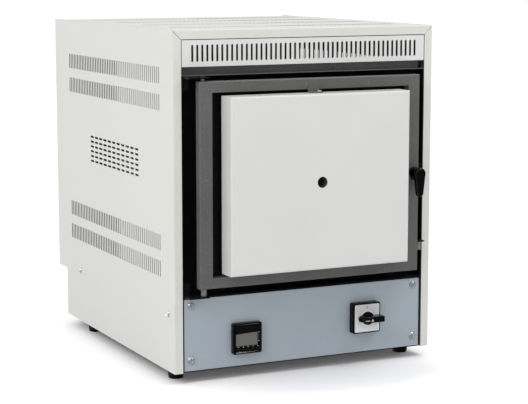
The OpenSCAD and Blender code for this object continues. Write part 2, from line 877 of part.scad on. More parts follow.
// Heating wire wound on the muffle, with one lead back from each end
module heating_winding() {
  first_y = muffle_front + 12;
  count = floor((muffle_d - 20) / turn_pitch);
  wire = 2 * wire_r;
  in_w = chamber_w + 2 * muffle_wall;
  in_h = chamber_h + 2 * muffle_wall;
  tail_l = 5.5;
  low_z = -in_h / 2 - wire;
  last_y = first_y + (count - 1) * turn_pitch;
  color("darkgray") seat() translate([0, 0, door_z]) {
    for (i = [0 : count - 1])
      plate_xz(first_y + i * turn_pitch, wire) difference() {
        round_rect(in_w + 2 * wire, in_h + 2 * wire, muffle_r + wire);
        round_rect(in_w, in_h, muffle_r);
        if (i < count - 1)
          rect([-6, low_z - 1], [0, low_z + wire + 1]);
      }
    for (i = [0 : count - 2])
      plate_xy(low_z, wire)
        polygon([
          [-6 - wire, first_y + i * turn_pitch], [-6, first_y + i * turn_pitch],
          [wire, first_y + (i + 1) * turn_pitch + wire], [0, first_y + (i + 1) * turn_pitch + wire]
        ]);
    for (s = [-1, 1])
      round_y(s * lead_x, lead_z - door_z, s < 0 ? first_y : last_y, insul_back + 20, wire_r);
    for (s = [-1, 1])
      translate([s * lead_x, s < 0 ? first_y : last_y, lead_z - door_z])
        rotate([-90, -s * 45, 0]) translate([-wire_r, -tail_l, 0]) cube([wire, tail_l, wire]);
  }
}

// Hearth plate that lies on the floor of the muffle
module hearth_plate() {
  front = pan_back + plug_d + 5;
  low = door_z - mouth_z;
  color("antiquewhite") seat()
    box([-mouth_x + 5, front, low], [mouth_x - 5, muffle_back - muffle_wall - 8, low + hearth_t]);
}

// Thermocouple: ceramic sheath with a terminal head behind the jacket
module thermocouple() {
  tip = muffle_back - muffle_wall - probe_in;
  head = insul_back + sheet;
  color("ivory") seat() union() {
    round_y(probe_x, probe_z, tip + probe_r, head + 2, probe_r);
    translate([probe_x, tip + probe_r, probe_z]) sphere(r = probe_r);
    round_y(probe_x, probe_z, head, head + probe_head_l - 8, probe_head_r);
    round_y(probe_x, probe_z, head + probe_head_l - 8, head + probe_head_l, probe_head_r - 3);
  }
}

// Ceramic tube that vents the chamber through the back
module vent_tube() {
  color("ivory") seat() difference() {
    round_y(0, vent_z, muffle_back - muffle_wall, rear_y, vent_r);
    round_y(0, vent_z, 0, rear_y + 1, vent_bore_r);
  }
}

// Temperature controller: case behind the panel
module controller_case() {
  half = ctl_size / 2 - 1.7;
  back = panel_back + ctl_case_d;
  color("black") seat()
    box([-ctl_x - half, panel_back, ctl_z - half], [-ctl_x + half, back, ctl_z + half]);
}

// Temperature controller: front bezel with its window recess and five key holes
module controller_bezel() {
  color("black") seat() difference() {
    translate([-ctl_x, 0, ctl_z]) plate_xz(panel_back - ctl_out, ctl_out) round_rect(ctl_size, ctl_size, 2);
    translate([lcd_x, 0, lcd_z]) plate_xz(panel_back - ctl_out - 1, 3) round_rect(lcd_w, lcd_h, 1);
    for (i = [-2 : 2])
      translate([key_x(i), 0, keys_z]) plate_xz(panel_back - ctl_out - 1, 5)
        round_rect(key_w + 0.4, key_h + 0.4, 1.2);
  }
}

// Middle of a controller key, counted from the middle key
function key_x(i) = -ctl_x + 0.6 + i * key_pitch;

// Clear front window of the controller
module controller_window() {
  color("darkslategray") seat() translate([lcd_x, 0, lcd_z])
    plate_xz(panel_back - ctl_out + 0.3, 1.7) round_rect(lcd_w - 0.2, lcd_h - 0.2, 0.9);
}

// One key of the controller
module controller_key(i) {
  color("dimgray") seat() translate([key_x(i), 0, keys_z]) union() {
    plate_xz(panel_back - ctl_out - 0.2, 4 - key_travel - 0.1) round_rect(key_w, key_h, 1);
    plate_xz(panel_back - ctl_out - 0.5, 1) round_rect(key_w - 1.2, key_h - 1.2, 0.6);
  }
}

module controller_key_1() {
  controller_key(-2);
}

module controller_key_2() {
  controller_key(-1);
}

module controller_key_3() {
  controller_key(0);
}

module controller_key_4() {
  controller_key(1);
}

module controller_key_5() {
  controller_key(2);
}

// Main switch: contact block behind the panel
module switch_body() {
  w = sw_size - 6;
  stack_pitch = (switch_stack - 7) / 3;
  color("dimgray") seat() difference() {
    translate([sw_x, 0, sw_z]) union() {
      plate_xz(panel_back_y, 8) round_rect(w, w, 3);
      for (i = [0 : 2])
        plate_xz(panel_back_y + 8 + i * stack_pitch, stack_pitch - 1) round_rect(w - 6, w - 2, 2);
      plate_xz(panel_back_y, switch_stack) round_rect(w - 9, w - 9, 2);
    }
    round_y(sw_x, sw_z, 0, panel_back_y + 6, shaft_r + 0.3);
  }
}

// Main switch: square bezel in front of the panel
module switch_bezel() {
  front = panel_back - sw_out;
  recess = sw_size - 2 * sw_rim;
  color("black") seat() difference() {
    translate([sw_x, 0, sw_z]) plate_xz(front, sw_out) round_rect(sw_size, sw_size, 2.5);
    translate([sw_x, 0, sw_z]) plate_xz(front - 1, 1.8) round_rect(recess, recess, 1.5);
    round_y(sw_x, sw_z, front - 1, panel_back + 1, shaft_r + pin_fit);
  }
}

// Main switch: bright legend plate set into the bezel
module switch_plate() {
  front = panel_back - sw_out;
  plate_w = sw_size - 2 * sw_rim - 0.4;
  color("silver") seat() difference() {
    translate([sw_x, 0, sw_z]) plate_xz(front - 0.2, 1) round_rect(plate_w, plate_w, 1.3);
    round_y(sw_x, sw_z, front - 1, front + 2, shaft_r + 0.5);
  }
}

// Main switch: knob with its drop-shaped foot, grip and shaft; the grip points right when off
module switch_knob() {
  front = panel_back - sw_out;
  grip_front = front - knob_out;
  grip_back = front - 2;
  foot_front = front - 5;
  tip_r = 3;
  rake = 5.5;
  color("black") seat() translate([sw_x, 0, sw_z]) union() {
    plate_xz(foot_front, 4.5) hull() {
      circle(knob_hub_r);
      translate([tip_r - knob_tail, 0]) circle(tip_r);
    }
    round_y(0, 0, foot_front - 1.5, foot_front, knob_hub_r - 1.5);
    round_y(0, 0, foot_front, panel_back_y + 4, shaft_r);
    intersection() {
      plate_xz(grip_front, grip_back - grip_front) translate([(knob_l - knob_tail) / 2, 0])
        round_rect(knob_l + knob_tail, knob_w, 2);
      plate_xy(-knob_w, 2 * knob_w)
        polygon([
          [-knob_tail, grip_back], [-knob_tail, grip_back - 2], [rake - knob_tail, grip_front],
          [knob_l, grip_front], [knob_l, grip_back]
        ]);
    }
  }
}

// Relay that switches the heater, with its four terminals
module solid_state_relay() {
  back = sink_y;
  low = sheet + relay_lift;
  color("gainsboro") seat() union() {
    box([-relay_w / 2, back - relay_t, low], [relay_w / 2, back, low + relay_h]);
    for (x = [-1, 1])
      for (z = [8, relay_h - 8])
        round_y(x * relay_w / 4, low + z, back - relay_t - 4, back - relay_t, 4);
  }
}

// Finned heat sink that carries the relay
module heat_sink() {
  fins = floor(sink_w / fin_pitch);
  color("silver") seat() union() {
    box([-sink_w / 2, sink_y, sheet], [sink_w / 2, sink_y + 6, sheet + sink_h]);
    for (i = [0 : fins - 1])
      translate([(i - (fins - 1) / 2) * fin_pitch, 0, 0])
        box([-1, sink_y + 6, sheet], [1, sink_y + 6 + fin_d, sheet + sink_h]);
  }
}

// Ceramic terminal block for the mains and the heater
module terminal_block() {
  pitch = terminal_w / 4 - 1;
  half_d = terminal_d / 2;
  color("ivory") seat() translate([gland_x, terminal_y, sheet]) difference() {
    box([-terminal_w / 2, -half_d, 0], [terminal_w / 2, half_d, terminal_h]);
    for (i = [-1.5 : 1.5])
      translate([i * pitch, 0, terminal_h - 14]) cylinder(h = 15, r = 4);
    for (i = [-1 : 1])
      box([i * pitch - 1, -half_d - 1, terminal_h - 8], [i * pitch + 1, half_d + 1, terminal_h + 1]);
  }
}

// Earth stud with its nuts
module earth_stud() {
  color("goldenrod") seat() union() {
    round_y(earth_x, inlet_z, lower_d - 10, lower_d + sheet + 18, earth_r);
    translate([earth_x, lower_d + sheet + 5, inlet_z]) rotate([90, 0, 0]) cylinder(h = 5, r = 5.8, $fn = 6);
    translate([earth_x, lower_d, inlet_z]) rotate([90, 0, 0]) cylinder(h = 5, r = 5.8, $fn = 6);
  }
}

// Cable gland for the mains lead, with its lock nut inside
module cable_gland() {
  out_y = lower_d + sheet;
  color("dimgray") seat() difference() {
    union() {
      round_y(gland_x, inlet_z, lower_d - 8, out_y + 14, gland_r);
      translate([gland_x, out_y + 5, inlet_z]) rotate([90, 0, 0]) cylinder(h = 5, r = 11.5, $fn = 6);
      translate([gland_x, lower_d, inlet_z]) rotate([90, 0, 0]) cylinder(h = 4, r = 11.5, $fn = 6);
      round_y(gland_x, inlet_z, out_y + 7, out_y + 19, 10);
      translate([gland_x, out_y + 19, inlet_z]) rotate([-90, 0, 0]) cylinder(h = 4, r1 = 10, r2 = 7.5);
    }
    round_y(gland_x, inlet_z, lower_d - 9, out_y + 24, gland_bore_r);
  }
}

// Rubber feet, recessed below for their screws
module rubber_feet() {
  color("black") seat() at_feet() difference() {
    translate([0, 0, -foot_h]) cylinder(h = foot_h, r1 = foot_r, r2 = foot_top_r);
    translate([0, 0, -foot_h - 1]) cylinder(h = 8, r = 5.5);
    translate([0, 0, -foot_h]) cylinder(h = foot_h + 1, r = foot_screw_r + 0.2);
  }
}

// Screws of the feet, with their nuts on the tray
module foot_screws() {
  color("silver") seat() at_feet() union() {
    translate([0, 0, 7 - foot_h - 2.5]) cylinder(h = 2.5, r = 4.6);
    translate([0, 0, 7 - foot_h]) cylinder(h = foot_h - 7 + sheet + 6, r = foot_screw_r);
    translate([0, 0, sheet]) cylinder(h = 4, r = 4.6, $fn = 6);
  }
}

// All the visible pan-head screws of the casing
module case_screws() {
  color("silver") seat() {
    at_panel_screws() pan_screw(10);
    for (s = [-1, 1])
      at_side_screws(s) pan_screw(8);
    at_rear_screws() pan_screw(8);
  }
}

// Box with its front edges rounded
module pillow(lo, hi, r) {
  size = hi - lo;
  difference() {
    box(lo, hi);
    translate([lo[0], lo[1], lo[2] - 1]) edge_round(r, size[2] + 2);
    translate([hi[0], lo[1], lo[2] - 1]) rotate(90) edge_round(r, size[2] + 2);
    translate([lo[0] - 1, lo[1], hi[2]]) rotate([0, 90, 0]) edge_round(r, size[0] + 2);
    translate([hi[0] + 1, lo[1], lo[2]]) rotate([0, -90, 0]) edge_round(r, size[0] + 2);
  }
}

// Folded door frame, open at the back, with bosses for the hinge pins and the spindle
module door_frame() {
  front = -door_out;
  boss_x = frame_x - sheet;
  boss_in = frame_x - stile_w + sheet;
  boss_y = front + sheet;
  lip_x = window_x + sheet;
  color("dimgray") seat() difference() {
    union() {
      difference() {
        pillow([-frame_x, front, frame_low], [frame_x, frame_back, frame_top], bend_r);
        box([-frame_x + sheet, boss_y, frame_low + sheet], [frame_x - sheet, 0, frame_top - sheet]);
      }
      difference() {
        box([-lip_x, boss_y, window_low - sheet], [lip_x, frame_back, window_top + sheet]);
        box([-window_x - 0.01, front - 1, window_low], [window_x, 0, window_top]);
      }
      box([-boss_x, boss_y, frame_top - 12], [-boss_in, frame_back, frame_top - sheet]);
      box([-boss_x, boss_y, frame_low + sheet], [-boss_in, frame_back, frame_low + 12]);
      round_y(spindle_x, handle_z, boss_y, frame_back, spindle_r + 3);
    }
    box([-window_x, front - 1, window_low], [window_x, 0, window_top]);
    translate([-hinge_x, hinge_y, frame_top - 13]) cylinder(h = 20, r = pin_r + pin_fit);
    translate([-hinge_x, hinge_y, frame_low - 7]) cylinder(h = 20, r = pin_r + pin_fit);
    round_y(spindle_x, handle_z, front - 1, 5, spindle_r + pin_fit);
  }
}

// Black pan behind the frame; its rim holds the insulation
module door_pan() {
  in_x = pan_x - sheet;
  color("dimgray") seat() difference() {
    union() {
      box([-frame_x + 2, frame_back, frame_low + 2], [frame_x - 2, frame_back + sheet, frame_top - 2]);
      difference() {
        box([-pan_x, frame_back, pan_low], [pan_x, pan_back, pan_top]);
        box([-in_x, frame_back + sheet, pan_low + sheet], [in_x, pan_back + 1, pan_top - sheet]);
      }
    }
    round_y(0, door_z, frame_back - 1, frame_back + 5, peep_r + sight_wall + fit_gap);
    round_y(spindle_x, handle_z, frame_back - 1, frame_back + 5, spindle_r + 0.3);
  }
}

// Half width of the plug that still swings clear of the mouth at a given depth
function swing_x(y) = sqrt(pow(hinge_x + mouth_x - plug_gap, 2) - pow(y - hinge_y, 2)) - hinge_x;

// Insulating board of the door with its tapered plug
module door_insulation() {
  root = pan_back;
  tip = root + plug_d;
  root_x = swing_x(root);
  root_h = mouth_z - plug_gap;
  tip_h = root_h - 3;
  in_x = pan_x - sheet;
  color("ivory") seat() difference() {
    union() {
      box([-in_x, frame_back + sheet, pan_low + sheet], [in_x, root, pan_top - sheet]);
      translate([0, 0, door_z]) intersection() {
        plate_xy(-mouth_z, chamber_h)
          polygon([
            [-root_x, root - 1], [root_x, root - 1], [root_x, root],
            [swing_x(tip), tip], [-swing_x(tip), tip], [-root_x, root]
          ]);
        plate_yz(-mouth_x, chamber_w)
          polygon([
            [root - 1, -root_h], [root, -root_h], [tip, -tip_h],
            [tip, tip_h], [root, root_h], [root - 1, root_h]
          ]);
      }
    }
    round_y(0, door_z, frame_back, tip + 1, peep_r + sight_wall);
  }
}

// Light box-shaped cover, open behind with a folded rim, slotted above and below
module door_cover() {
  in_x = cover_x - sheet;
  rim_x = cover_x - cover_rim_w;
  height = cover_top - cover_low;
  color("lightgray") seat() difference() {
    pillow([-cover_x, cover_front_y, cover_low], [cover_x, cover_back, cover_top], cover_r);
    box([-in_x, cover_front_y + sheet, cover_low + sheet], [in_x, cover_back - sheet, cover_top - sheet]);
    box([-rim_x, cover_back - 5, cover_low + cover_rim_w], [rim_x, 0, cover_top - cover_rim_w]);
    plate_xy(cover_low - 1, height + 2) difference() {
      translate([0, cover_front_y + cover_d / 2]) cover_slots();
      rect([-tab_half_w - 2, cover_front_y], [tab_half_w + 2, 0]);
    }
    round_y(0, door_z, cover_front_y - 1, cover_front_y + 5, peep_r);
    translate([cover_screw_x, cover_screw_y, cover_low - 1]) cylinder(h = height + 2, r = cover_hole_r);
  }
}

// Slots in the top and the bottom of the cover
module cover_slots() {
  count = floor((2 * cover_x - 40) / slot_pitch) + 1;
  for (i = [0 : count - 1])
    translate([(i - (count - 1) / 2) * slot_pitch, 0]) slot(slot_w, cover_d / 2);
}

// Upper cover tab; the lower one is its mirror image
module cover_tab() {
  box([-tab_half_w, -door_out - tab_l, cover_top], [tab_half_w, -door_out, cover_top + tab_t]);
  box([-tab_half_w, -door_out - tab_t, cover_top], [tab_half_w, -door_out, window_top + tab_lap]);
}

module cover_tabs() {
  color("dimgray") seat() difference() {
    union() {
      cover_tab();
      translate([0, 0, 2 * door_z]) mirror([0, 0, 1]) cover_tab();
    }
    translate([cover_screw_x, cover_screw_y, cover_low - 5])
      cylinder(h = cover_top - cover_low + 10, r = cover_hole_r);
  }
}

// Upper cover screw; the lower one is its mirror image
module cover_screw() {
  translate([cover_screw_x, cover_screw_y, cover_top + tab_t]) {
    cylinder(h = 2.2, r = 3.2);
    translate([0, 0, -6]) cylinder(h = 6, r = cover_screw_r);
  }
}

module cover_screws() {
  color("silver") seat() {
    cover_screw();
    translate([0, 0, 2 * door_z]) mirror([0, 0, 1]) cover_screw();
  }
}

// Tube that lines the peephole from the cover to the chamber
module sight_tube() {
  front = cover_front_y + sheet + fit_gap;
  color("dimgray") seat() difference() {
    round_y(0, door_z, front, pan_back + plug_d, peep_r + sight_wall);
    round_y(0, door_z, front - 1, pan_back + plug_d + 1, peep_r);
  }
}

// Tongue on the edge of the door that works the door switch
module door_switch_tongue() {
  front = -door_out + 3;
  color("black") seat() union() {
    box([frame_x, front, switch_tongue_z - 12], [frame_x + 1.5, front + 9, switch_tongue_z + 2]);
    box([frame_x, front, switch_tongue_z], [frame_x + 14, front + 9, switch_tongue_z + 2]);
  }
}

// Drop-shaped latch lever on its hub, hanging down
module latch_handle() {
  back = -door_out - fit_gap;
  color("black") seat() translate([spindle_x, 0, handle_z]) difference() {
    union() {
      round_y(0, 0, lever_y, back, hub_r - 1);
      plate_xz(lever_y - lever_t, lever_t) hull() {
        circle(hub_r);
        translate([0, -lever_l + lever_tip_r]) circle(lever_tip_r);
      }
    }
    round_y(0, 0, lever_y - 4, back + 1, spindle_r);
  }
}

// Latch spindle with its cam behind the door frame
module latch_cam() {
  color("silver") seat() translate([spindle_x, 0, handle_z]) union() {
    round_y(0, 0, lever_y - 4, cam_y + cam_t, spindle_r);
    plate_xz(cam_y, cam_t) union() {
      circle(7);
      rect([-5, -cam_l + 5], [5, 0]);
      translate([0, -cam_l + 5]) circle(5);
    }
  }
}

side_panel_left();
side_panel_right();
top_cover();
vent_strip();
rear_cover();
rear_panel();
base_tray();
divider_shelf();
control_panel();
front_plate();
door_header();
door_sill();
recess_sides();
hinge_brackets();
hinge_pins();
latch_keeper();
door_switch();
door_seal();
mouth_collar();
inner_casing();
inner_casing_back();
support_rails();
insulation_lower();
insulation_upper();
insulation_rear();
muffle();
heating_winding();
hearth_plate();
thermocouple();
vent_tube();
controller_case();
controller_bezel();
controller_window();
controller_key_1();
controller_key_2();
controller_key_3();
controller_key_4();
controller_key_5();
switch_body();
switch_bezel();
switch_plate();
switch_knob();
solid_state_relay();
heat_sink();
terminal_block();
earth_stud();
cable_gland();
rubber_feet();
foot_screws();
case_screws();
door_frame();
door_pan();
door_insulation();
door_cover();
cover_tabs();
cover_screws();
sight_tube();
door_switch_tongue();
latch_handle();
latch_cam();
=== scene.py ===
import json
import math

import bmesh
import bpy
from mathutils import Matrix, Vector

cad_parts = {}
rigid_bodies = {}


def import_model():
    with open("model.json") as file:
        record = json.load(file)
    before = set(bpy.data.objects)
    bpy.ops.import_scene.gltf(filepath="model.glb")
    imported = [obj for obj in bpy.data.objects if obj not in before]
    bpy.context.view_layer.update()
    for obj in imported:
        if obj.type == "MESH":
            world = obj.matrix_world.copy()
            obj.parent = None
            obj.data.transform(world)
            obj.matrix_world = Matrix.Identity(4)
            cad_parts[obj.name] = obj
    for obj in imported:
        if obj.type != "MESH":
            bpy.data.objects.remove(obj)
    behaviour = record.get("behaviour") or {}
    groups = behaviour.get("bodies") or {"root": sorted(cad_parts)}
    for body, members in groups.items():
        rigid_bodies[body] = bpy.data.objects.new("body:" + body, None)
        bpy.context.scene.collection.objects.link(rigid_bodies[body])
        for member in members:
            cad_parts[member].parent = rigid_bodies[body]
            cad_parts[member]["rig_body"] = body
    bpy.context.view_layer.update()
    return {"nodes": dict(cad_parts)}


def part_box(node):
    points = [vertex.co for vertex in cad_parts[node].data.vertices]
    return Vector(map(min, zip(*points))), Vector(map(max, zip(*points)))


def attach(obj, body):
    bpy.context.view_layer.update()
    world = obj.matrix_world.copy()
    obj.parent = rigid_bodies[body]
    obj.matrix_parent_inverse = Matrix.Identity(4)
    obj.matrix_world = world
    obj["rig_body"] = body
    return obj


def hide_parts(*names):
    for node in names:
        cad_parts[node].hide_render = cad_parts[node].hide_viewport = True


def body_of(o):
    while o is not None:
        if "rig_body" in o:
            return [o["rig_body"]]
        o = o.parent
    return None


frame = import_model()
nodes = frame["nodes"]

# Casing coordinates, as in part.scad: millimetres, Y back from the front flanges, Z up from
# the underside of the casing.
MIDDLE_Y = 238.3
FOOT_H = 18.0
PANEL_FRONT = 2.4


def at(x, y, z):
    """A point in casing millimetres as a point of the frame, in metres."""
    return Vector((x, y - MIDDLE_Y, z + FOOT_H)) / 1000


def casing_box(node):
    """The lowest and highest corner of a CAD node in casing millimetres."""
    lo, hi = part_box(node)
    back = Vector((0, MIDDLE_Y, -FOOT_H))
    return lo * 1000 + back, hi * 1000 + back


# Node helpers

WHITE = (1.0, 1.0, 1.0, 1.0)
# The part of a noise between these two values is spread over the whole range
NOISE_SPAN = (0.3, 0.7)


def srgb(r, g, b):
    """A colour given as 0 to 255, as the linear colour that Blender takes."""
    line = []
    for c in (r / 255, g / 255, b / 255):
        line.append(c / 12.92 if c <= 0.04045 else ((c + 0.055) / 1.055) ** 2.4)
    return (*line, 1.0)


def grey(value):
    return (value, value, value, 1.0)


def tinted(colour, factor):
    return (*(min(1.0, c * factor) for c in colour[:3]), 1.0)


def object_point(tree):
    return tree.nodes.new("ShaderNodeTexCoord").outputs["Object"]


def parts_of(tree, vector):
    """The outputs X, Y and Z of a vector."""
    split = tree.nodes.new("ShaderNodeSeparateXYZ")
    tree.links.new(vector, split.inputs[0])
    return split.outputs


def operation_node(tree, kind, operation, *values):
    """The outputs of a maths node; each value is a socket or a constant."""
    node = tree.nodes.new(kind)
    node.operation = operation
    for socket, value in zip(node.inputs, values):
        if isinstance(value, bpy.types.NodeSocket):
            tree.links.new(value, socket)
        else:
            socket.default_value = value
    return node.outputs


def maths_node(tree, operation, a, b):
    return operation_node(tree, "ShaderNodeMath", operation, a, b)[0]


def vector_node(tree, operation, *values):
    return operation_node(tree, "ShaderNodeVectorMath", operation, *values)


def mapping_node(tree, point, **settings):
    mapping = tree.nodes.new("ShaderNodeMapping")
    for socket, value in settings.items():
        mapping.inputs[socket].default_value = value
    tree.links.new(point, mapping.inputs["Vector"])
    return mapping.outputs["Vector"]


def noise_node(tree, point, scale, detail=3.0, stretch=(1, 1, 1)):
    noise = tree.nodes.new("ShaderNodeTexNoise")
    noise.inputs["Scale"].default_value = scale
    noise.inputs["Detail"].default_value = detail
    tree.links.new(mapping_node(tree, point, Scale=stretch), noise.inputs["Vector"])
    return noise.outputs["Fac"]


def ramp_node(tree, factor, stops):
    ramp = tree.nodes.new("ShaderNodeValToRGB")
    while len(ramp.color_ramp.elements) < len(stops):
        ramp.color_ramp.elements.new(0.5)
    for element, (place, colour) in zip(ramp.color_ramp.elements, stops):
        element.position = place
        element.color = colour
    tree.links.new(factor, ramp.inputs["Fac"])
    return ramp.outputs["Color"]


def mix_node(tree, blend_type, factor, a, b):
    mix = tree.nodes.new("ShaderNodeMix")
    mix.data_type = "RGBA"
    mix.blend_type = blend_type
    if isinstance(factor, bpy.types.NodeSocket):
        tree.links.new(factor, mix.inputs["Factor"])
    else:
        mix.inputs["Factor"].default_value = factor
    tree.links.new(a, mix.inputs["A"])
    tree.links.new(b, mix.inputs["B"])
    return mix.outputs["Result"]


def range_node(tree, factor, source, target):
    """Carries the source range of a factor onto the target range."""
    span = tree.nodes.new("ShaderNodeMapRange")
    names = ("From Min", "From Max", "To Min", "To Max")
    for name, value in zip(names, (*source, *target)):
        span.inputs[name].default_value = value
    tree.links.new(factor, span.inputs["Value"])
    return span.outputs["Result"]


# Materials


def surface(
    name, colour, rough, metallic=0.0, patch=0.04, patch_scale=9.0, grain=0.05, grain_scale=700.0,
    grain_stretch=(1, 1, 1), rough_var=0.06, bump=0.15, bump_depth=0.00015, **sockets,
):
    """A material with slow patches and fine grain in its colour, roughness and height."""
    material = bpy.data.materials.new(name)
    material.use_nodes = True
    tree = material.node_tree
    shader = tree.nodes["Principled BSDF"]
    point = object_point(tree)
    slow = noise_node(tree, point, patch_scale)
    fine = noise_node(tree, point, grain_scale, 2.0, grain_stretch)
    dull, pale = tinted(colour, 1 - patch), tinted(colour, 1 + patch)
    base = ramp_node(tree, slow, list(zip(NOISE_SPAN, (dull, pale))))
    speck = ramp_node(tree, fine, [(0.35, tinted(WHITE, 1 - grain)), (0.65, WHITE)])
    tree.links.new(mix_node(tree, "MULTIPLY", 1.0, base, speck), shader.inputs["Base Color"])
    rough_range = (rough - rough_var, rough + rough_var)
    tree.links.new(range_node(tree, slow, NOISE_SPAN, rough_range), shader.inputs["Roughness"])
    height = tree.nodes.new("ShaderNodeBump")
    height.inputs["Strength"].default_value = bump
    height.inputs["Distance"].default_value = bump_depth
    tree.links.new(fine, height.inputs["Height"])
    tree.links.new(height.outputs["Normal"], shader.inputs["Normal"])
    shader.inputs["Metallic"].default_value = metallic
    for socket, value in sockets.items():
        shader.inputs[socket.replace("_", " ")].default_value = value
    return material


def speckled(name, colour, speck, rough):
    """A dark coat with a coarse texture: pale crests over a darker ground."""
    material = surface(
        name, colour, rough, patch=0.06, rough_var=0.07, bump=0.5, grain=0.25, grain_scale=520.0,
        bump_depth=0.0003, Specular_IOR_Level=0.8,
    )
    tree = material.node_tree
    base_colour = tree.nodes["Principled BSDF"].inputs["Base Color"]
    crest = noise_node(tree, object_point(tree), 330.0, 4.0)
    share = ramp_node(tree, crest, [(0.66, grey(0.0)), (0.76, grey(0.5))])
    light = ramp_node(tree, crest, [(0.5, tinted(speck, 0.7)), (0.8, speck)])
    ground = base_colour.links[0].from_socket
    tree.links.new(mix_node(tree, "MIX", share, ground, light), base_colour)
    return material


def shaded(material, factor, stops):
    """Multiplies the colour of a material by a ramp over the factor."""
    tree = material.node_tree
    base_colour = tree.nodes["Principled BSDF"].inputs["Base Color"]
    plain = base_colour.links[0].from_socket
    shade = ramp_node(tree, factor, stops)
    tree.links.new(mix_node(tree, "MULTIPLY", 1.0, plain, shade), base_colour)


CASING_MIDDLE = (0.0, 0.0, 0.27)
LEDGE_Y, LEDGE_Z = 0.232, 0.522
# Share of the coat's colour left on the inward faces: painted shade
INSIDE_SHADE = 0.12


def shade_inside_faces(material):
    """Painted shade: darkens the faces of a coat that look into the casing, so that the inside
    shows dark through the vent slots.
    """
    tree = material.node_tree
    face = tree.nodes.new("ShaderNodeNewGeometry").outputs
    from_middle = vector_node(tree, "SUBTRACT", face["Position"], CASING_MIDDLE)["Vector"]
    outward = vector_node(tree, "DOT_PRODUCT", from_middle, face["Normal"])["Value"]
    # The ledge above the rear cover is outside, though its sides look inward
    place = parts_of(tree, face["Position"])
    on_ledge = maths_node(
        tree, "MULTIPLY", maths_node(tree, "GREATER_THAN", place["Y"], LEDGE_Y),
        maths_node(tree, "GREATER_THAN", place["Z"], LEDGE_Z),
    )
    outside = maths_node(tree, "ADD", on_ledge, outward)
    shaded(material, outside, [(0.0, grey(INSIDE_SHADE)), (0.02, WHITE)])


